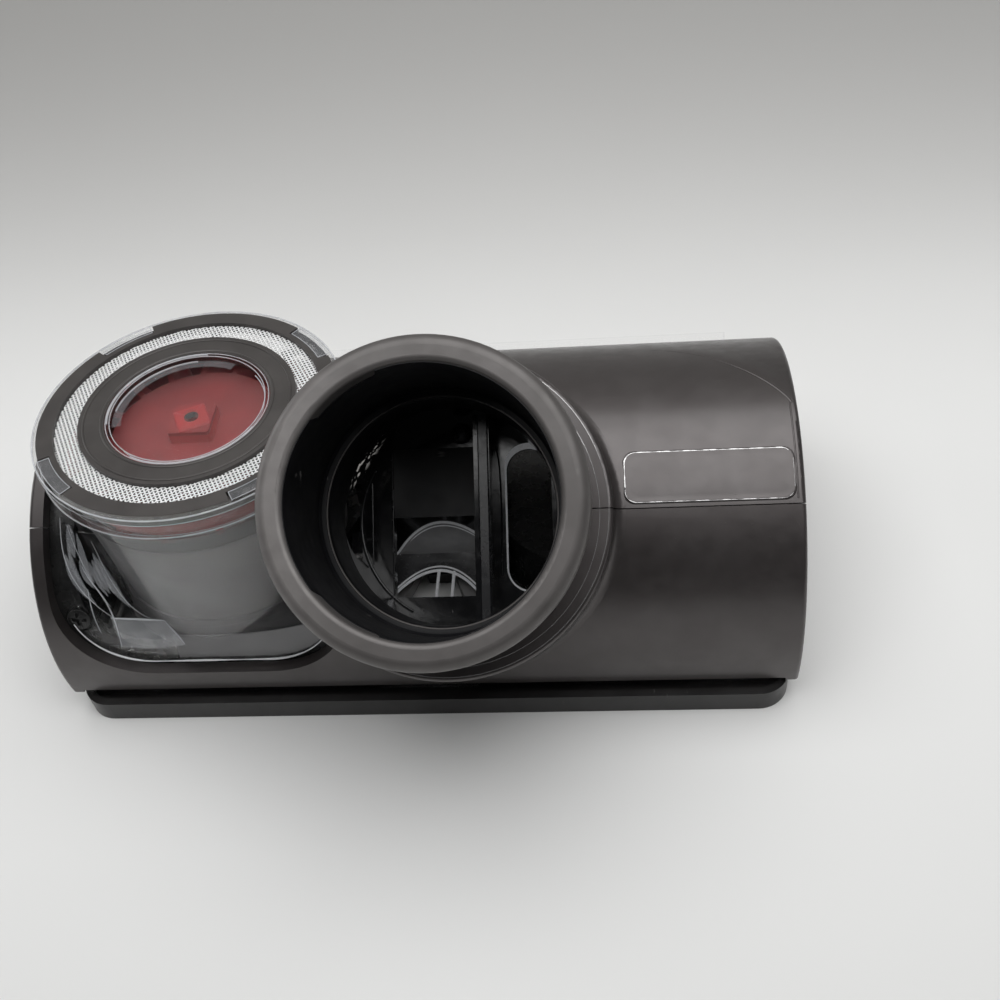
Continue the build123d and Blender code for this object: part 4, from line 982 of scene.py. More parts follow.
@dataclass
class ShellDetails:
    """Raised panel, crease line and end line on the grey shells."""

    drum: Drum = field(default_factory=Drum)
    panel_x: Pair = (32.2, 56.9)
    panel_angles: Pair = (112.6, 127.9)
    panel_corner: float = 1.7
    panel_rise: float = 0.05
    edge_rise: float = 0.12
    bead_thick: float = 0.22
    crease_knots: Pairs = ((37.4, 67.0), (43.5, 72.4), (50.0, 81.0), (54.6, 90.9), (57.4, 98.3))
    crease_ridge: tuple[float, float, float] = (0.34, 0.07, 0.2)
    end_x: float = 57.05
    end_angles: Pair = (98.3, 127.6)
    end_ridge: tuple[float, float, float] = (0.26, 0.06, 0.2)

    def build(self) -> None:
        """Builds the panel with its bead, the crease and the end line."""
        put_piece("shell_panel", self.panel(), Finishes.SHELL, Body.HEAD)
        # The bead is pale polished grey: a painted highlight along the panel's edge.
        put_piece("shell_panel_bead", self.panel_bead(), Finishes.BRIGHT, Body.HEAD)
        put_piece("shell_crease", self.crease(), Finishes.SHELL, Body.HEAD)
        put_piece("shell_end_line", self.end_line(), Finishes.SHELL, Body.HEAD)

    def panel_halves(self) -> Pair:
        """Half of the panel's length along x and half of its arc."""
        half_turn = radians(self.panel_angles[1] - self.panel_angles[0]) / 2
        return (self.panel_x[1] - self.panel_x[0]) / 2, half_turn * self.drum.radius

    def panel(self) -> Surface:
        """A thin round-cornered panel wrapped on the drum, with a fine rolled edge.

        Rows are copies of the outline drawn in towards its centre. The radius is the drum's plus
        the edge's rise near the outline, falling to the panel's own rise inside it.

        Returns:
            The closed panel.
        """
        half_x, half_arc = self.panel_halves()
        outline = rounded_box(half_x, half_arc, self.panel_corner)
        inset = np.concatenate([[0.0, 0.12, 0.25, 0.4, 0.6, 0.9], np.linspace(1.2, half_arc, 10)])
        across = np.clip(1 - inset[:, None] / half_x, 0, 1) * outline[None, :, 0]
        arc = np.clip(1 - inset[:, None] / half_arc, 0, 1) * outline[None, :, 1]
        rise = self.edge_rise * smooth(inset, 0, 0.25)
        rise -= (self.edge_rise - self.panel_rise) * smooth(inset, 0.3, 0.9)
        across = np.concatenate([0 * across[:1], across[:1], across])
        arc = np.concatenate([0 * arc[:1], arc[:1], arc])
        rise = np.concatenate([[-0.5, -0.5], rise])
        x = sum(self.panel_x) / 2 + across
        angle = sum(self.panel_angles) / 2 + np.degrees(arc / self.drum.radius)
        radius = np.broadcast_to(self.drum.radius + rise[:, None], x.shape)
        points = self.drum.points(x, angle, radius).reshape(-1, 3)
        count = outline.shape[0]
        last = (len(rise) - 1) * count
        lid = [list(range(last, last + count))]
        return Surface(points, grid_quads(len(rise), count), lid)

    def panel_bead(self) -> Surface:
        """A fine pale polished bead round the panel's edge, a painted highlight, broken up along
        its lower side.

        The bead is a round section carried round the outline and shut on itself. Its thickness
        follows two sine waves. It is thinner on the lower side and fades at the right end.

        Returns:
            The closed bead.
        """
        half_x, half_arc = self.panel_halves()
        outline = rounded_box(half_x - 0.25, half_arc - 0.25, self.panel_corner, 12)
        closed = np.concatenate([outline, outline[:1]])
        run = np.concatenate([[0], np.cumsum(np.hypot(*np.diff(closed, axis=0).T))])
        at = np.linspace(0, run[-1], 400, endpoint=False)
        across, arc = (np.interp(at, run, closed[:, axis]) for axis in (0, 1))
        angle = sum(self.panel_angles) / 2 + np.degrees(arc / self.drum.radius)
        up = self.drum.outward(angle)
        radius = self.drum.radius + self.edge_rise - 0.02
        path = self.drum.points(sum(self.panel_x) / 2 + across, angle, radius)
        along = np.roll(path, -1, axis=0) - np.roll(path, 1, axis=0)
        along /= np.linalg.norm(along, axis=1, keepdims=True)
        side = np.cross(along, up)
        waves = 0.5 + 0.3 * np.sin(1.9 * at) + 0.2 * np.sin(4.7 * at + 1.0)
        low = smooth(arc, half_arc - 1.2, half_arc - 0.3)
        full, broken = 0.4 + 0.7 * smooth(waves, 0.25, 0.8), 0.3 + 0.6 * smooth(waves, 0.3, 0.8)
        size = full * (1 - low) + low * broken
        size *= 1 - 0.8 * smooth(across, half_x - 1.6, half_x - 0.4)
        ring = bead(0.0, 0.0, self.bead_thick, 8) * np.array([1.0, 0.8])
        points = path[:, None] + size[:, None, None] * (
            ring[None, :, :1] * side[:, None] + ring[None, :, 1:] * up[:, None]
        )
        return Surface(points.reshape(-1, 3), grid_quads(400, len(ring), round_rows=True))

    def crease(self) -> Surface:
        """A fine ridge along the crease, which thins out to nothing at its left end.

        Returns:
            The closed ridge.
        """
        line = spline(np.array(self.crease_knots), 60)
        path = self.drum.points(line[:, 0], line[:, 1], self.drum.radius)
        size = 0.15 + 0.85 * smooth(np.linspace(0, 1, 60), 0, 0.8)
        return sweep(path, self.drum.outward(line[:, 1]), ridge_section(*self.crease_ridge), size)

    def end_line(self) -> Surface:
        """A fine ridge round the drum near its right end.

        Returns:
            The closed ridge.
        """
        angle = np.linspace(*self.end_angles, 60)
        path = self.drum.points(np.full(60, self.end_x), angle, self.drum.radius)
        return sweep(path, self.drum.outward(angle), ridge_section(*self.end_ridge))


@dataclass
class Turbine:
    """Inlet screen, hub, shroud details and clear edges of the turbine's housing; the clear edges
    and gleams are painted highlights, the shroud's dark band a painted shadow and the hub's lighter
    red painted light.
    """

    drum: Drum = field(default_factory=Drum)
    centre: Pair = (-32.2, -6.8)
    screen: Pair = (16.25, 20.2)
    screen_height: float = 45.3
    pitch: float = 0.56
    thread: float = 0.15
    thread_rise: float = 0.05
    wave: float = 0.055
    skirt_radius: float = 29.05
    skirt_low: float = 12.35
    skirt_corner: float = 12.3
    skirt_middles: Pair = (-41.8, -23.5)
    # Partial arcs on the lens rim lie where it catches the light: painted highlights.
    lens_arcs: tuple[tuple[float, float, float, float, float], ...] = (
        (12.3, 45.92, 0.16, 0, 360),
        (12.1, 45.9, 0.3, 88, 196),
        (12.1, 45.9, 0.22, 240, 335),
        (11.72, 45.9, 0.16, 0, 360),
        (11.5, 45.14, 0.3, 96, 178),
        (11.5, 45.14, 0.2, 228, 400),
    )
    # Whitish hoops round the clear tube and rim: painted highlight lines.
    tube_hoops: tuple[tuple[float, float, float], ...] = (
        (23.2, 45.72, 0.26),
        (23.38, 44.9, 0.08),
        (23.2, 42.22, 0.24),
        (21.88, 41.3, 0.1),
    )
    # Whitish bars on the skirt's corner: painted highlights.
    ridge_lines: tuple[tuple[float, Pairs], ...] = (
        (0.18, ((-53.6, 126.0), (-53.2, 135.5), (-51.4, 146.6), (-46.1, 158.5))),
        (0.26, ((-50.3, 141.1), (-48.4, 148.0), (-46.8, 155.4), (-46.6, 168.4))),
        (0.34, ((-47.0, 157.8), (-44.1, 158.3), (-41.2, 158.7), (-38.6, 159.2))),
        (0.3, ((-38.6, 159.2), (-37.8, 162.0), (-37.0, 165.0), (-36.4, 168.2))),
        (0.18, ((-49.8, 148.0), (-49.7, 156.0), (-49.2, 163.0))),
        (0.14, ((-52.6, 128.0), (-50.8, 137.0), (-48.9, 146.0), (-46.6, 154.0))),
        (0.14, ((-48.6, 133.5), (-46.6, 142.5), (-44.2, 151.8), (-40.8, 158.2))),
    )
    # Whitish ring sectors: painted light over the tabs' shaded pockets and painted highlights on
    # the lens.
    gleam_sheets: tuple[tuple[float, float, float, float, float], ...] = (
        (21.0, 22.7, 45.99, 29, 51),
        (21.0, 22.7, 45.99, 119, 141),
        (21.0, 22.7, 45.99, 209, 231),
        (21.0, 22.7, 45.99, 299, 321),
        (10.2, 11.6, 45.14, 64, 196),
        (11.0, 11.6, 45.14, 250, 350),
    )
    # Streaks and a fold sheet on the skirt's corner: painted reflections.
    streaks: int = 9
    fold_lines: tuple[Pairs, Pairs] = (
        ((-47.0, 157.8), (-42.8, 158.5), (-38.6, 159.2)),
        ((-46.6, 168.4), (-41.5, 169.6), (-36.4, 168.2)),
    )
    # Section of the dark hoop on the shroud under the rim: painted shadow, also hiding the blade
    # tips.
    band: Pairs = ((19.95, 34.9), (20.2, 34.9), (20.2, 38.6), (19.95, 38.6))
    hoop: Pairs = (
        (19.0, 38.9), (19.6, 38.9), (19.7, 39.0), (19.7, 41.2), (19.6, 41.3), (19.0, 41.3)
    )
    # Profile of a black disc flush on the hub's top over the shaft's end: painted shade for the
    # hole.
    hole: Pairs = (
        (0.0, 43.6), (1.1, 43.6), (1.1, 43.84), (0.95, 43.84), (0.8, 43.82), (0.0, 43.82)
    )
    apron: Pairs = (
        (19.6, 12.5), (20.1, 12.4), (20.2, 12.6), (19.6, 15.2),
        (19.35, 18.7), (18.9, 18.7), (19.1, 15.2),
    )
    apron_turn: Pair = (-142.0, -38.0)
    hub_rows: tuple[tuple[float, Pairs], ...] = (
        (0.0, ((0, 40.9), (3.28, 40.9), (3.28, 42.8), (3.1, 43.05), (0, 43.05))),
        (25.0, ((0, 42.9), (2.5, 42.9), (2.5, 43.6), (2.3, 43.8), (0, 43.8))),
    )
    tab_middles: tuple[float, ...] = (40.0, 130.0, 220.0, 310.0)
    tab_half: float = 11.0
    tab_top: float = 45.97
    tab_line: float = 0.12
    weave_slant: float = 28.0
    backing_x: Pair = (-38.2, -13.5)
    backing_radii: Pair = (28.4, 28.2)
    backing_top: float = 156.0
    backing_arch: Pair = (10.0, 20.0)
    flange_x: Pair = (-53.2, -13.0)
    flange_thick: float = 0.36
    ring_beads: tuple[tuple[float, float, float], ...] = ((15.6, 45.96, 0.36), (12.95, 45.9, 0.5))

    def build(self) -> None:
        """Builds the screen, the clear edges and gleams that paint highlights, the hub in a lighter
        glowing red, the painted shadow band and the grey that shows through the skirt.
        """
        put_piece(
            "inlet_screen", self.woven(), Finishes.MESH, Body.HEAD, ("inlet_mesh",), 180
        )
        arcs = [
            revolve(bead(radius, height, thick, 8), 70, radians(start), radians(stop))
            for radius, height, thick, start, stop in self.lens_arcs
        ]
        put_piece("lens_edge", self.at(joined(arcs)), Finishes.EDGE, Body.HEAD)
        put_piece("tab_edges", self.at(self.tabs()), Finishes.EDGE, Body.HEAD)
        put_piece("clear_gleams", self.at(self.gleams()), Finishes.PAINTED_GLEAM, Body.HEAD)
        put_piece(
            "shroud_shadow_band", self.at(revolve(np.array(self.band))), Finishes.SHADOW_BAND, Body.HEAD,
        )
        hoops = [revolve(bead(*hoop, 10), 160) for hoop in self.tube_hoops]
        put_piece("tube_hoops", self.at(joined(hoops)), Finishes.EDGE, Body.HEAD)
        put_piece(
            "rotor_hoop", self.at(revolve(np.array(self.hoop))), Finishes.ROTOR, Body.TURBINE,
        )
        # The hub takes the lighter glowing red: painted light.
        put_piece("hub_block", self.at(self.hub()), Finishes.HUB, Body.TURBINE)
        # A black disc stands for the hub's hole: painted shade.
        put_piece(
            "hub_hole_shade", self.at(revolve(np.array(self.hole), 40)), Finishes.CASE, Body.TURBINE,
        )
        sector = revolve(np.array(self.apron), 60, *np.radians(self.apron_turn))
        put_piece("shroud_apron", self.at(sector), Finishes.SHROUD, Body.HEAD)
        put_piece("skirt_ridges", self.ridges(), Finishes.EDGE, Body.HEAD)
        put_piece("skirt_folds", self.folds(), Finishes.PAINTED_REFLECTION, Body.HEAD)
        put_piece("skirt_backing", self.backing(), Finishes.VEIL, Body.HEAD)
        # The skirt's lower edge is a pale bead: a painted highlight.
        put_piece("skirt_flange", self.flange(), Finishes.BEVEL, Body.HEAD)
        grey = [revolve(bead(*ring)) for ring in self.ring_beads]
        put_piece("ring_edge", self.at(joined(grey)), Finishes.RING, Body.HEAD)

    def ridges(self) -> Surface:
        """Fine bright ridges on the skirt, whitish as painted highlights: each a rounded bar
        through places on the drum.

        A place is given as x and an angle from +y, at the skirt's outer radius.

        Returns:
            The bars.
        """
        bars = []
        for thick, knots in self.ridge_lines:
            line = spline(np.array(knots), 40)
            path = self.drum.points(line[:, 0], line[:, 1], np.full(40, self.skirt_radius))
            fade = 0.25 + 0.75 * np.sin(pi * np.linspace(0.08, 0.92, 40))
            bars.append(sweep(path, self.drum.outward(line[:, 1]), bead(0.0, 0.0, thick, 8), fade))
        return joined(bars)

    def corner_streaks(self) -> list[Surface]:
        """Thin bars between the corner's outer lines, painted reflections, each of a drawn start,
        length and width.

        Returns:
            The bars, one surface each.
        """
        draw = np.random.default_rng(SEED)
        first, last = (spline(np.array(self.ridge_lines[line][1]), 40) for line in (0, 6))
        bars = []
        for share in np.linspace(0.04, 0.96, self.streaks):
            start, length = draw.integers(0, 16), draw.integers(12, 24)
            line = (first * (1 - share) + last * share)[start : start + length]
            path = self.drum.points(line[:, 0], line[:, 1], np.full(length, self.skirt_radius))
            fade = 0.15 + 0.85 * np.sin(pi * np.linspace(0, 1, length))
            section = draw.uniform(0.5, 1.5) * bead(0.0, 0.0, 1.0, 8) * np.array([1.0, 0.16])
            bars.append(sweep(path, self.drum.outward(line[:, 1]), section, fade))
        return bars

    def tabs(self) -> Surface:
        """Fine whitish edges of the clear tabs, painted highlights: an inner and an outer arc and
        two straight ends each.

        Returns:
            The edges of all tabs.
        """
        edges = []
        up = np.array([0.0, 0.0, 1.0])
        for middle in self.tab_middles:
            ends = radians(middle - self.tab_half), radians(middle + self.tab_half)
            edges += [
                revolve(bead(radius, self.tab_top, self.tab_line, 8), 24, *ends)
                for radius in (20.98, 22.7)
            ]
            for turn in ends:
                far = np.linspace(20.98, 22.9, 4)
                path = np.column_stack([far * cos(turn), far * sin(turn), np.full(4, self.tab_top)])
                edges.append(tube(path, up, self.tab_line))
        return joined(edges)

    def gleams(self) -> Surface:
        """Whitish films on the tabs and the lens, painted light over the tabs' shade and painted
        highlights on the lens: flat ring sectors.

        Returns:
            The films.
        """
        gleam_sheets = []
        for inner, outer, top, start, stop in self.gleam_sheets:
            low = top - 0.06
            section = np.array([[inner, top], [outer, top], [outer, low], [inner, low]])
            gleam_sheets.append(revolve(section, 40, radians(start), radians(stop)))
        return joined(gleam_sheets)

    def hub(self) -> Surface:
        """The square hub: a base and a turned top, each rows of a round-cornered square.

        Returns:
            Both blocks.
        """
        square = rounded_box(1.0, 1.0, 0.16, 5)
        blocks = []
        for turn, rows in self.hub_rows:
            outline = turned(turn)[:2, :2]
            grid = [
                np.column_stack([size * square @ outline, np.full(len(square), height)])
                for size, height in rows
            ]
            blocks.append(Surface(np.concatenate(grid), grid_quads(len(rows), len(square))))
        return joined(blocks)

    def folds(self) -> Surface:
        """A whitish sheet on a fold of the skirt's corner, between two lines, and the streaks:
        painted reflections.

        Returns:
            The fold and the streaks.
        """
        first, second = (spline(np.array(knots), 24) for knots in self.fold_lines)
        share = np.linspace(0, 1, 8)[:, None, None]
        flat = first[None] * (1 - share) + second[None] * share
        layers = [
            self.drum.points(
                flat[..., 0], flat[..., 1], np.full(flat.shape[:2], self.skirt_radius + rise)
            )
            for rise in (0.06, -0.1)
        ]
        return joined([sheet(*layers)] + self.corner_streaks())

    def backing(self) -> Surface:
        """The grey that shows through the skirt: a thin sheet inside the clear wall.

        It runs from half an ellipse under the shroud down to the skirt's lower edge.

        Returns:
            The closed sheet.
        """
        x = np.linspace(*self.backing_x, 40)
        edge = self.edge_height(x) + 0.1 - self.drum.height
        low = 180 - np.degrees(np.arcsin(edge / self.skirt_radius))
        share = np.linspace(0, 1, 12)[:, None]
        drop, half = self.backing_arch
        arch = np.sqrt(np.maximum(1 - ((x - self.centre[0]) / half) ** 2, 0))
        high = self.backing_top + drop * arch
        angle = high + (np.maximum(low, high + 0.5) - high) * share
        across = np.broadcast_to(x, angle.shape)
        layers = [
            self.drum.points(across, angle, np.full(angle.shape, radius))
            for radius in self.backing_radii
        ]
        return sheet(*layers)

    def edge_height(self, x: Array) -> Array:
        """Height of the skirt's lower edge: level, and up a quarter circle at each end.

        Args:
            x: places along x.

        Returns:
            The heights.
        """
        past = np.maximum(self.skirt_middles[0] - x, 0) + np.maximum(x - self.skirt_middles[1], 0)
        return self.skirt_low + self.skirt_corner - np.sqrt(
            np.maximum(self.skirt_corner**2 - past**2, 0)
        )

    def flange(self) -> Surface:
        """A pale bead along the skirt's lower edge, a painted highlight, its thickness a slow sine
        of x.

        Returns:
            The closed bead.
        """
        x = np.linspace(*self.flange_x, 90)
        angle = 180 - np.degrees(
            np.arcsin((self.edge_height(x) - self.drum.height) / self.skirt_radius)
        )
        path = self.drum.points(x, angle, np.full(90, self.skirt_radius))
        size = 0.75 + 0.25 * np.sin(0.5 * x)
        return sweep(path, self.drum.outward(angle), bead(0.0, 0.0, self.flange_thick, 8), size)

    def at(self, surface: Surface) -> Surface:
        """The surface moved to the turbine's axis."""
        return surface.placed(np.array([*self.centre, 0.0]), np.eye(3))

    def threads(self, sign: float) -> Surface:
        """Threads of one direction, drawn along x and cut off by the screen's two circles.

        Thread k lies at y = k pitch. Its height is a cosine of x with one half wave to a pitch,
        which goes over and under by turns, and its section is a flat diamond.

        Args:
            sign: 1 for threads that start over and -1 for those that start under.

        Returns:
            The threads as closed spindles.
        """
        inner, outer = self.screen
        half = np.ceil(outer / self.pitch) * self.pitch
        offset = np.arange(-half, half + self.pitch / 2, self.pitch)
        run = np.arange(-half, half + self.pitch / 8, self.pitch / 4)
        x, y = np.meshgrid(run, offset)
        distance = np.hypot(x, y)
        inside = (distance > inner) & (distance < outer)
        before = np.pad(inside, ((0, 0), (1, 0)))[:, :-1]
        beyond = np.pad(inside, ((0, 0), (0, 1)))[:, 1:]
        open_here = (inside & before & beyond).astype(float)
        turn = np.arange(len(offset))[:, None] * pi + pi * (x + half) / self.pitch
        height = self.screen_height + sign * self.wave * np.cos(turn)
        corner = np.array([[1, 0], [0, 1], [-1, 0], [0, -1]], dtype=float)
        wide = y[..., None] + open_here[..., None] * self.thread * corner[:, 0]
        tall = height[..., None] + open_here[..., None] * self.thread_rise * corner[:, 1]
        points = np.stack([np.broadcast_to(x[..., None], wide.shape), wide, tall], axis=-1)
        cell = np.arange(x.size).reshape(x.shape)
        pairs = (inside[:, :-1] & inside[:, 1:]).ravel()
        here, there = cell[:, :-1].ravel()[pairs], cell[:, 1:].ravel()[pairs]
        side = np.arange(4)
        quads = np.stack(
            [
                here[:, None] * 4 + side,
                there[:, None] * 4 + side,
                there[:, None] * 4 + (side + 1) % 4,
                here[:, None] * 4 + (side + 1) % 4,
            ],
            axis=-1,
        ).reshape(-1, 4)
        used, packed = np.unique(quads, return_inverse=True)
        return Surface(points.reshape(-1, 3)[used], packed.reshape(-1, 4))

    def woven(self) -> Surface:
        """Two sets of threads at right angles: the second has x and y exchanged.

        Returns:
            The screen, on the turbine's axis.
        """
        exchanged = np.array([[0.0, 1.0, 0.0], [1.0, 0.0, 0.0], [0.0, 0.0, 1.0]])
        across = self.threads(-1.0).placed(np.zeros(3), exchanged)
        weave = joined([self.threads(1.0), across])
        return weave.placed(np.array([*self.centre, 0.0]), turned(self.weave_slant))


@dataclass
class Neck:
    """Black liner of the wand socket and pale beads on the collar about it, which are painted
    highlights.
    """

    place: NeckFrame = field(default_factory=NeckFrame)
    socket: float = 17.75
    bore: float = 16.4
    ledge: float = 36.5
    foot: float = 27.2
    mouth: float = 54.9
    wall: float = 0.14
    notch_depth: float = 2.4
    collar_height: float = 33.0
    # Pale polished beads on the collar: painted highlight lines.
    collar_rings: Pairs = ((23.55, 0.13), (22.25, 0.11))
    collar_turn: Pair = (-150.0, 113.0)

    def build(self) -> None:
        """Builds the liner and the collar's pale beads, painted highlights, which stop short of the
        turbine's housing.
        """
        put_piece("neck_liner", self.liner(), Finishes.LINER, Body.NECK)
        rings = [
            revolve(bead(radius, self.collar_height, thick, 8), 180, *np.radians(self.collar_turn))
            for radius, thick in self.collar_rings
        ]
        edges = joined(rings).placed(self.place.origin(), self.place.axes())
        put_piece("collar_edges", edges, Finishes.BRIGHT, Body.HEAD)

    def liner(self) -> Surface:
        """A thin sleeve along the socket, its ledge and the bore, turned about the neck's axis.

        Two notches are cut in its mouth by lowering the rim between two angles.

        Returns:
            The closed sleeve.
        """
        wall = self.wall
        profile = np.array(
            [
                [self.socket + 0.1, self.mouth],
                [self.socket - wall * 0.6, self.mouth],
                [self.socket - wall, self.mouth - 0.3],
                [self.socket - wall, self.mouth - 3.4],
                [self.socket - wall, self.ledge + 0.6],
                [self.socket - 0.5, self.ledge + wall],
                [self.bore + 0.7, self.ledge + wall],
                [self.bore + 0.25, self.ledge + wall - 0.06],
                [self.bore - wall + 0.1, self.ledge - 0.3],
                [self.bore - wall + 0.02, self.ledge - 0.8],
                [self.bore - wall, self.ledge - 1.6],
                [self.bore - wall, self.foot],
                [self.bore + 0.1, self.foot],
                [self.bore + 0.1, self.ledge - 0.1],
                [self.socket + 0.1, self.ledge - 0.1],
            ]
        )
        sleeve = revolve(profile, 240)
        angle = np.degrees(np.arctan2(sleeve.points[:, 1], sleeve.points[:, 0]))
        notch = smooth(np.abs(angle), 108, 110) * (1 - smooth(np.abs(angle), 140, 142))
        near_mouth = smooth(sleeve.points[:, 2], self.mouth - 1.0, self.mouth - 0.6)
        sleeve.points[:, 2] -= self.notch_depth * notch * near_mouth
        return sleeve.placed(self.place.origin(), self.place.axes())


@dataclass
class DuctInsert:
    """Moulded edges, ribs and guards that show inside the neck; the arch bevel, hood, shelf and
    guard glow as painted light.
    """

    place: NeckFrame = field(default_factory=NeckFrame)
    wall: float = 14.0
    bore: float = 16.5
    rib_u: Pair = (3.75, 5.4)
    rib_top: float = 23.0
    opening_u: Pair = (-11.1, 3.1)
    arch_middle: float = 10.9
    arch_radius: float = 3.6
    arch_straight: float = 7.8
    shaft_wall_y: float = -4.2
    shaft_half: float = 8.2
    hood_top: float = 16.0
    hood_fall: float = 5.6
    hood_middle: float = 2.2
    hood_half: float = 7.4
    hood_foot: float = 8.1
    guard_height: float = 8.2
    bow_y: float = -8.25
    bow_fall: float = 0.098
    bow_middle: float = 1.0
    rib_half_height: float = 15.6
    deflector_v: Pair = (6.45, 5.55)
    deflector_hollow: float = 0.35
    corner_turn: Pair = (148.0, 240.0)
    boss_spot: Pair = (0.2, 14.2)
    boss_size: Pair = (1.7, 1.0)
    edge_bars: tuple[tuple[float, Pairs], ...] = (
        (0.3, ((-11.25, -11.6), (-11.25, 11.6))),
        (0.3, ((-14.6, -6.6), (-14.6, 6.6))),
        (0.28, ((5.65, 11.5), (6.3, 6.4), (6.35, -2.0), (6.3, -9.2))),
    )
    comb_x: Pair = (1.0, 3.6)
    comb_y: Pair = (-8.6, -26.0)

    def build(self) -> None:
        """Builds the deflector, rib cap, edges, arch bevel, hood, shelf and guard."""
        put_piece("duct_deflector", self.deflector(), Finishes.LINER, Body.HEAD)
        put_piece("duct_rib_cap", self.rib_cap(), Finishes.RIB, Body.HEAD)
        put_piece("duct_edges", self.edges(), Finishes.RIB, Body.HEAD)
        # The arch bevel, hood, shelf and guard glow faintly: painted light in the throat's shade.
        put_piece("duct_arch_bevel", self.arch_bevel(), Finishes.LIT, Body.HEAD)
        put_piece("throat_hood", self.hood(), Finishes.THROAT, Body.HEAD)
        put_piece("throat_shelf", self.shelf(), Finishes.SHELF, Body.HEAD)
        put_piece("throat_guard", self.guard(), Finishes.LIT, Body.HEAD)

    def line(self, knots: Pairs, t: float, thick: float) -> Surface:
        """A round bar through places given as u and v at one t, in the neck's frame.

        Args:
            knots: places as u and v.
            t: height along the neck's axis.
            thick: thickness of the bar.

        Returns:
            The closed bar.
        """
        flat = spline(np.array(knots), 24)
        local = np.column_stack([flat, np.full(len(flat), t)])
        return tube(self.place.points(local), self.place.axes()[2], thick)

    def deflector(self) -> Surface:
        """A slightly hollowed plate that fills the opening's upper half.

        Its depth is a product of one less the fourth power across and one less the square up, so
        the plate meets the wall round its edge and is deepest in the middle.

        Returns:
            The closed plate.
        """
        across, rise = np.meshgrid(np.linspace(-1, 1, 25), np.linspace(-1, 1, 17))
        middle = sum(self.opening_u) / 2
        half = (self.opening_u[1] - self.opening_u[0]) / 2
        hollow = self.deflector_hollow * (1 - across**4) * (1 - rise**2)
        middle_v, half_v = self.deflector_v
        u, v = middle + half * across, middle_v + half_v * rise
        front = np.stack([u, v, self.wall - 0.3 - hollow], axis=-1)
        back = np.stack([u, v, self.wall - 0.75 - hollow], axis=-1)
        return sheet(front, back).placed(self.place.origin(), self.place.axes())

    def rib_cap(self) -> Surface:
        """A low bevelled cap along the rib's front face.

        Returns:
            The closed cap.
        """
        v = np.linspace(-self.rib_half_height, self.rib_half_height, 40)
        middle = sum(self.rib_u) / 2
        half = (self.rib_u[1] - self.rib_u[0]) / 2
        local = np.column_stack([np.full(40, middle), v, np.full(40, self.rib_top)])
        path = self.place.points(local)
        bevel = half - 0.2
        section = np.array(
            [[-half, -0.2], [half, -0.2], [half, 0.1], [bevel, 0.28], [-bevel, 0.28], [-half, 0.1]]
        )
        return sweep(path, np.broadcast_to(self.place.axes()[2], path.shape), section)

    def edges(self) -> Surface:
        """Fine rounded edges: round the wall's corner, beside the opening, and a small dome.

        Returns:
            The edges and the dome.
        """
        rim = bead(self.bore - 0.1, self.wall + 0.1, 0.36, 8)
        corner = revolve(rim, 60, *np.radians(self.corner_turn))
        turn = np.linspace(0, pi / 2, 10)
        radius, rise = self.boss_size
        dome = np.column_stack([radius * np.cos(turn), rise * np.sin(turn)])
        boss = revolve(np.concatenate([[[0.0, -0.3], [radius, -0.3]], dome]), 36)
        bars = [self.line(knots, self.wall + 0.03, thick) for thick, knots in self.edge_bars]
        boss_foot = np.array([*self.boss_spot, self.wall])
        rounds = [
            part.placed(self.place.points(spot), self.place.axes())
            for part, spot in ((corner, np.zeros(3)), (boss, boss_foot))
        ]
        return joined(rounds + bars)

    def arch_bevel(self) -> Surface:
        """A pale glowing bevel along the arch's edge, a painted reflection: thin up its side, wide
        over its head, thin below.

        The path goes up the left side of the slot and round its upper half circle. A second bar
        goes round the lower half circle.

        Returns:
            The bevel and the bar below it.
        """
        side = np.linspace(-self.arch_straight, self.arch_straight, 20)
        turn = np.linspace(pi, 0.12 * pi, 26)
        left = np.column_stack([np.full(20, self.arch_middle - self.arch_radius), side])
        head = np.column_stack(
            [
                self.arch_middle + self.arch_radius * np.cos(turn[1:]),
                self.arch_straight + self.arch_radius * np.sin(turn[1:]),
            ]
        )
        flat = np.concatenate([left, head])
        local = np.column_stack([flat, np.full(len(flat), self.wall)])
        size = 0.3 + 0.7 * smooth(np.arange(len(flat)), 18, 30)
        section = np.array([[-0.1, -0.1], [0.9, -0.1], [0.9, 0.08], [0.2, 0.34], [-0.1, 0.2]])
        up = np.broadcast_to(self.place.axes()[2], local.shape)
        bevel = sweep(self.place.points(local), up, section * np.array([-1, 1]), size)
        below = np.linspace(pi, 1.72 * pi, 24)
        foot = np.column_stack(
            [
                self.arch_middle + (self.arch_radius + 0.1) * np.cos(below),
                -self.arch_straight + (self.arch_radius + 0.1) * np.sin(below),
                np.full(24, self.wall),
            ]
        )
        lower = tube(self.place.points(foot), self.place.axes()[2], 0.3)
        return joined([bevel, lower])

    def across(self) -> Array:
        """Places across the shaft."""
        return np.linspace(-self.shaft_half, self.shaft_half, 40)

    def crown(self, x: Array) -> Array:
        """Height of the hood's arc: its top less a square of the distance from its middle."""
        away = np.abs((x - self.hood_middle) / self.hood_half)
        return self.hood_top - self.hood_fall * away**2.0

    def bow(self, x: Array) -> Array:
        """Place of the lower guard along y: its start less a square of the distance across."""
        return self.bow_y - self.bow_fall * (x - self.bow_middle) ** 2

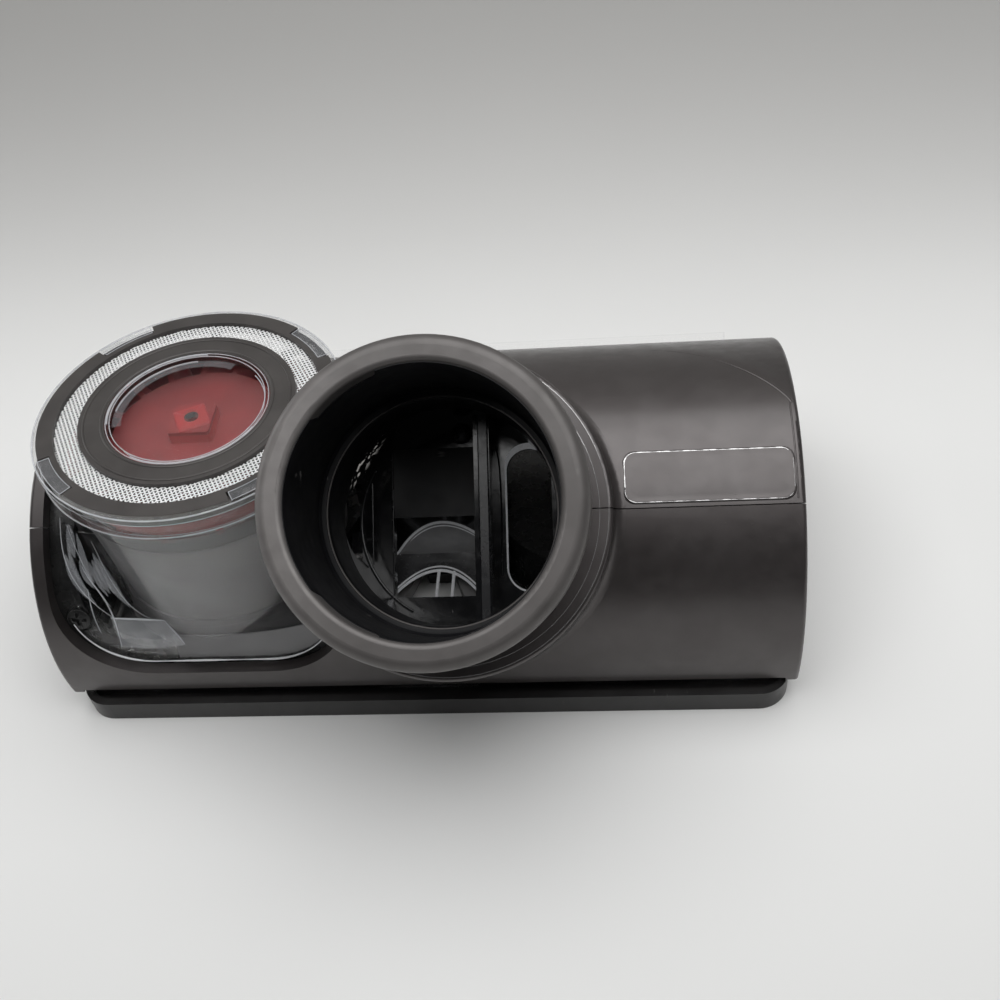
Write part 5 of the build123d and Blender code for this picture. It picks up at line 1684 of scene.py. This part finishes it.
    def hood(self) -> Surface:
        """A glossy arched face on the shaft's front wall, from the roof up to a shallow arc,
        faintly glowing as painted light.

        Returns:
            The closed face.
        """
        x = self.across()
        share = np.linspace(0, 1, 12)[:, None]
        z = self.hood_foot + np.maximum(self.crown(x) - self.hood_foot, 0.3) * share
        bulge = 0.28 * np.sin(pi * share) + 0 * z
        y = self.shaft_wall_y - 0.12 - bulge
        front = np.stack([np.broadcast_to(x, z.shape), y, z], axis=-1)
        back = front.copy()
        back[..., 1] = self.shaft_wall_y + 0.2
        return sheet(front, back)

    def shelf(self) -> Surface:
        """A shallow dished shelf from the hood's foot out to the lower guard's bow, faintly glowing
        as painted light.

        Returns:
            The closed shelf.
        """
        x = self.across()
        share = np.linspace(0, 1, 10)[:, None]
        y = self.shaft_wall_y - 0.1 + (self.bow(x) - self.shaft_wall_y + 0.1) * share
        dish = self.guard_height - 0.5 * np.sin(pi * share) + 0 * y
        top = np.stack([np.broadcast_to(x, y.shape), y, dish], axis=-1)
        return sheet(top, top - np.array([0.0, 0.0, 0.25]))

    def guard(self) -> Surface:
        """Bars that stand for clear edges, pale and glowing as painted highlights: two along the
        hood's edge, two across the throat and two down it.

        Returns:
            The bars.
        """
        x = self.across()
        crown = np.maximum(self.crown(x), 8.4)
        out = np.array([0.0, -1.0, 0.0])
        upper = [
            tube(
                np.column_stack([x, np.full(40, self.shaft_wall_y - 0.15), crown - drop]), out,
                thick
            )
            for drop, thick in ((0.0, 0.42), (0.8, 0.26))
        ]
        up = np.array([0.0, 0.0, 1.0])
        lower = [
            tube(
                np.column_stack([x, self.bow(x) + shift, np.full(40, self.guard_height)]), up, thick
            )
            for shift, thick in ((0.0, 0.5), (0.9, 0.3))
        ]
        run = np.linspace(*self.comb_y, 12)
        comb = [
            tube(np.column_stack([np.full(12, x), run, np.full(12, self.guard_height)]), up, 0.55)
            for x in self.comb_x
        ]
        return joined(upper + lower + comb)


@dataclass
class Fasteners:
    """Screws with a cross recess, which stand for the plain packed screws."""

    drum: Drum = field(default_factory=Drum)
    cradle_x: float = -52.6
    cradle_seat: float = 27.6
    cradle_angles: Pair = (158.98, 79.6)
    cradle_screw: tuple[float, float, float, float] = (1.8, 0.9, 1.0, 3.0)
    disc_screw: tuple[float, float, float, float] = (3.0, 1.3, 1.3, 4.2)
    disc_seat: float = 2.6

    def build(self) -> None:
        """Builds the cradle's two screws and the two disc screws."""
        turn = np.array(self.cradle_angles)
        seats = self.drum.points(np.full(2, self.cradle_x), turn, np.full(2, self.cradle_seat))
        ups = self.drum.outward(turn)
        screws = [
            self.screw(*self.cradle_screw).placed(seat, self.frame_of(up))
            for seat, up in zip(seats, ups)
        ]
        put_piece(
            "cradle_cross_screws", joined(screws), Finishes.CASE, Body.HEAD,
            ("cradle_screws",)
        )
        down = self.frame_of(np.array([0.0, 0.0, -1.0]))
        for side, x, body in DISC_SIDES:
            screw = self.screw(*self.disc_screw).placed(np.array([x, 0.0, self.disc_seat]), down)
            put_piece(
                f"{side}_disc_cross_screw", screw, Finishes.STEEL, body,
                (f"{side}_disc_screw",)
            )

    def frame_of(self, up: Array) -> Array:
        """Three directions at right angles whose last is up."""
        side = np.array([1.0, 0.0, 0.0])
        return np.stack([side, np.cross(up, side), up])

    def screw(self, head: float, rise: float, shank: float, depth: float) -> Surface:
        """A pan-head screw: circles up the shank and over the head, with a cross sunk in it.

        The head's height is its rise less a small dome, and inside the recess it falls by up to
        half of the rise where a point is within an arm of the cross.

        Args:
            head: radius of the head.
            rise: height of the head.
            shank: radius of the shank.
            depth: length of the shank.

        Returns:
            The closed screw, its seat at height 0.
        """
        turn = np.linspace(0, 2 * pi, 96, endpoint=False)
        over = np.linspace(1, 0, 26)
        radius = np.concatenate([[0, shank, shank, head, head, head], head * over * 0.97])
        shoulder = [-depth, -depth, 0, 0, rise * 0.7, rise * 0.86]
        height = np.concatenate([shoulder, rise * (1 - 0.16 * over**2)])
        x = radius[:, None] * np.cos(turn)
        y = radius[:, None] * np.sin(turn)
        z = np.broadcast_to(height[:, None], x.shape).copy()
        arm, span = 0.17 * head, 0.62 * head
        sunk = np.zeros_like(z)
        for first, second in ((x, y), (y, x)):
            wide = 1 - smooth(np.abs(first), 0.8 * arm, 1.25 * arm)
            far = 1 - smooth(np.abs(second), 0.9 * span, 1.1 * span)
            sunk = np.maximum(sunk, wide * far)
        z -= sunk * 0.55 * rise * (height[:, None] > 0.8 * rise)
        points = np.stack([x, y, z], axis=-1).reshape(-1, 3)
        return Surface(points, grid_quads(len(radius), len(turn)))


@dataclass
class BrushDrive:
    """Bristle tufts of the two counter-turning discs."""

    outer_row: tuple[int, float] = (15, 21.75)
    inner_row: tuple[int, float] = (5, 12.75)
    tuft_radius: float = 1.5
    filaments: int = 44
    filament: float = 0.11
    floor_gap: float = 0.4
    disc_bottom: float = 2.6
    plug: Pairs = ((0, 2.85), (1.1, 2.82), (1.45, 2.7), (1.5, 2.75), (1.5, 4.1), (0, 4.1))

    def build(self) -> None:
        """Builds the tufts of both discs."""
        for side, x, body in DISC_SIDES:
            put_piece(
                f"{side}_bristle_tufts", self.tufts(x), Finishes.BRISTLE, body,
                (f"{side}_bristles",)
            )

    def spots(self) -> Array:
        """Centres of the tufts about the disc's centre, evenly spaced round two circles.

        Returns:
            The centres as x and y, one a row.
        """
        rows = []
        for count, radius in (self.outer_row, self.inner_row):
            turn = 2 * pi * np.arange(count) / count
            rows.append(radius * np.stack([np.cos(turn), np.sin(turn)], axis=1))
        return np.concatenate(rows)

    def tufts(self, x: float) -> Surface:
        """Filaments packed in a sunflower spiral, splayed and cut to slightly uneven lengths.

        A filament's centre line starts at its spot in the spiral and moves outwards with the
        square of the depth. Its section is a triangle that narrows towards the tip.

        Args:
            x: where the disc's axis is along x.

        Returns:
            All filaments and the plugs that hold them.
        """
        draw = np.random.default_rng(SEED)
        spots = self.spots()
        index = np.arange(self.filaments)
        far = (self.tuft_radius - 0.16) * np.sqrt((index + 0.5) / self.filaments)
        golden = index * pi * (3 - 5**0.5)
        start = np.stack([far * np.cos(golden), far * np.sin(golden)], axis=1)
        lean = draw.normal(0, 0.1, (len(spots), self.filaments, 2)) + 0.2 * start / self.tuft_radius
        tip = self.floor_gap + draw.uniform(0, 0.35, (len(spots), self.filaments))
        share = np.linspace(0, 1, 4)
        top = self.disc_bottom + 0.5
        splay = lean[:, :, None] * share[:, None] ** 2
        middle = spots[:, None, None] + start[None, :, None] + splay
        depth = top + (tip[..., None] - top) * share
        turn = np.linspace(0, 2 * pi, 3, endpoint=False)
        thick = self.filament * (1 - 0.35 * share)
        ring = np.stack([np.cos(turn), np.sin(turn)], axis=1)[None] * thick[:, None, None]
        flat = middle[..., None, :] + ring
        tall = np.broadcast_to(depth[..., None], flat.shape[:-1])
        points = np.concatenate([flat, tall[..., None]], axis=-1).reshape(-1, 12, 3)
        points[..., 0] += x
        one = grid_quads(4, 3)
        steps = 12 * np.arange(len(points))[:, None, None]
        quads = (one[None] + steps).reshape(-1, 4)
        ends = np.stack([np.array([0, 1, 2]), np.array([11, 10, 9])])
        caps = (ends[None] + steps).reshape(-1, 3).tolist()
        hairs = Surface(points.reshape(-1, 3), quads, caps)
        plug = revolve(np.array(self.plug), 20)
        plugs = [plug.placed(np.array([x + spot[0], spot[1], 0.0]), np.eye(3)) for spot in spots]
        return joined([hairs] + plugs)


@dataclass
class Studio:
    """Pale paper sweep, painted darker towards the camera and up the back as painted shade, two
    soft lights, a dim surround and the camera.
    """

    floor_half: float = 900.0
    bend_start: float = 95.0
    bend_radius: float = 150.0
    wall_top: float = 700.0
    focal: float = 1150.0
    picture: float = 1000.0
    sensor: float = 36.0
    softboxes: tuple[tuple[str, Colour, Colour, Pair, float], ...] = (
        ("overhead_softbox", (45.0, -35.0, 430.0), (45.0, -35.0, 0.0), (600.0, 470.0), 2.4),
        ("left_fill", (-430.0, 190.0, 150.0), (0.0, 0.0, 30.0), (360.0, 240.0), 0.5),
    )
    surround: Pair = (0.04, 0.25)
    surround_tone: Colour = (0.94, 0.97, 1.0)
    paper: tuple[Colour, Colour] = ((0.79, 0.79, 0.78), (0.81, 0.81, 0.80))
    # Painted shade on the paper: darker towards the camera and up the back.
    paper_front_shade: Colour = (0.69, 0.69, 0.68)
    paper_back_shade: Colour = (0.35, 0.345, 0.335)
    front_shade_fade: Pair = (-140.0, -10.0)
    back_shade_fade: Pair = (20.0, 215.0)
    view_place: Colour = (0.03043, -0.13347, 0.15550)
    view_axes: tuple[Colour, Colour, Colour] = (
        (0.994802, 0.04262, -0.092479),
        (0.033102, 0.723511, 0.689519),
        (0.096297, -0.688996, 0.718339),
    )

    def build(self) -> None:
        """Builds the sweep, the lights, the world and the camera."""
        self.sweep()
        self.lights()
        self.world()
        self.camera()
        bpy.context.scene.view_settings.view_transform = "Standard"

    def sweep(self) -> None:
        """A floor that bends up into a wall: a straight run, a quarter circle and a rise. Its paper
        is painted darker towards the camera and up the back: painted shade.
        """
        turn = np.linspace(0, pi / 2, 24)
        bend = self.bend_radius * np.column_stack([np.sin(turn[1:]), 1 - np.cos(turn[1:])])
        bend[:, 0] += self.bend_start
        floor = np.column_stack([np.linspace(-self.floor_half, self.bend_start, 12), np.zeros(12)])
        wall = np.array([[self.bend_start + self.bend_radius, self.wall_top]])
        run = np.concatenate([floor, bend, wall])
        x = np.linspace(-self.floor_half, self.floor_half, 12)
        points = np.stack(
            np.broadcast_arrays(x[None, :], run[:, None, 0], run[:, None, 1]), axis=-1
        )
        mesh = bpy.data.meshes.new("studio_sweep")
        quads = grid_quads(len(run), len(x), round_columns=False)
        mesh.from_pydata((points.reshape(-1, 3) * MM).tolist(), [], quads.tolist())
        mesh.polygons.foreach_set("use_smooth", np.ones(len(mesh.polygons), dtype=bool))
        shader = Shader("pale_paper")
        tone = shader.ramp(shader.noise(0.01), 0.3, 0.7)
        pale = shader.mixed(tone, *self.paper)
        away = shader.along(np.array([0.0, 1.0, 0.0]), 0.0)
        # Painted shade: the paper darkens towards the camera and, behind the object, up the back.
        pale = shader.mixed(shader.ramp(away, *self.front_shade_fade, 1.0, 0.0), pale, self.paper_front_shade)
        back = shader.ramp(away, *self.back_shade_fade)
        shader.set("Base Color", shader.mixed(back, pale, self.paper_back_shade))
        shader.set("Roughness", 0.75)
        shader.set("Specular IOR Level", 0.2)
        mesh.materials.append(shader.material)
        paper = bpy.data.objects.new("studio_sweep", mesh)
        bpy.context.scene.collection.objects.link(paper)

    def lights(self) -> None:
        """A broad softbox overhead and a weak one at the left back."""
        for box in self.softboxes:
            self.softbox(*box)

    def softbox(
        self, name: str, place: Colour, target: Colour, size: Pair, power: float
    ) -> None:
        """One rectangular area light that faces a target.

        Args:
            name: the light's name.
            place: its middle.
            target: the point that it faces.
            size: its two sides.
            power: its power in watts.
        """
        light = bpy.data.lights.new(name, "AREA")
        light.shape = "RECTANGLE"
        light.size, light.size_y = (length * MM for length in size)
        light.energy = power
        holder = bpy.data.objects.new(name, light)
        start, end = Vector(place) * MM, Vector(target) * MM
        turn = (end - start).to_track_quat("-Z", "Y").to_matrix().to_4x4()
        holder.matrix_world = Matrix.Translation(start) @ turn
        bpy.context.scene.collection.objects.link(holder)

    def world(self) -> None:
        """A dim surround that is darker on the camera's side than behind the object."""
        world = bpy.data.worlds.new("studio_surround")
        world.use_nodes = True
        tree = world.node_tree
        direction = tree.nodes.new("ShaderNodeTexCoord")
        parts = tree.nodes.new("ShaderNodeSeparateXYZ")
        tree.links.new(direction.outputs["Generated"], parts.inputs[0])
        change = tree.nodes.new("ShaderNodeMapRange")
        change.inputs["From Min"].default_value = -0.7
        change.inputs["From Max"].default_value = 0.8
        change.inputs["To Min"].default_value = self.surround[0]
        change.inputs["To Max"].default_value = self.surround[1]
        tree.links.new(parts.outputs["Y"], change.inputs["Value"])
        tree.links.new(change.outputs["Result"], tree.nodes["Background"].inputs["Strength"])
        tree.nodes["Background"].inputs["Color"].default_value = (*self.surround_tone, 1.0)
        bpy.context.scene.world = world

    def camera(self) -> None:
        """The camera at the photograph's view, from three axes and a place."""
        camera = bpy.data.cameras.new("camera")
        camera.sensor_width = self.sensor
        camera.lens = self.focal / self.picture * self.sensor
        camera.clip_start = 0.005
        holder = bpy.data.objects.new("camera", camera)
        matrix = np.eye(4)
        matrix[:3, :3] = np.array(self.view_axes).T
        matrix[:3, 3] = self.view_place
        holder.matrix_world = Matrix(matrix.tolist())
        bpy.context.scene.collection.objects.link(holder)
        bpy.context.scene.camera = holder


def main() -> None:
    """Builds every sub-assembly in order."""
    logging.basicConfig(level=logging.INFO, format="%(name)s %(message)s")
    dress_solids()
    for assembly in (ShellDetails, Neck, DuctInsert, Turbine, Fasteners, BrushDrive, Studio):
        assembly().build()


if __name__ == "__main__":
    main()
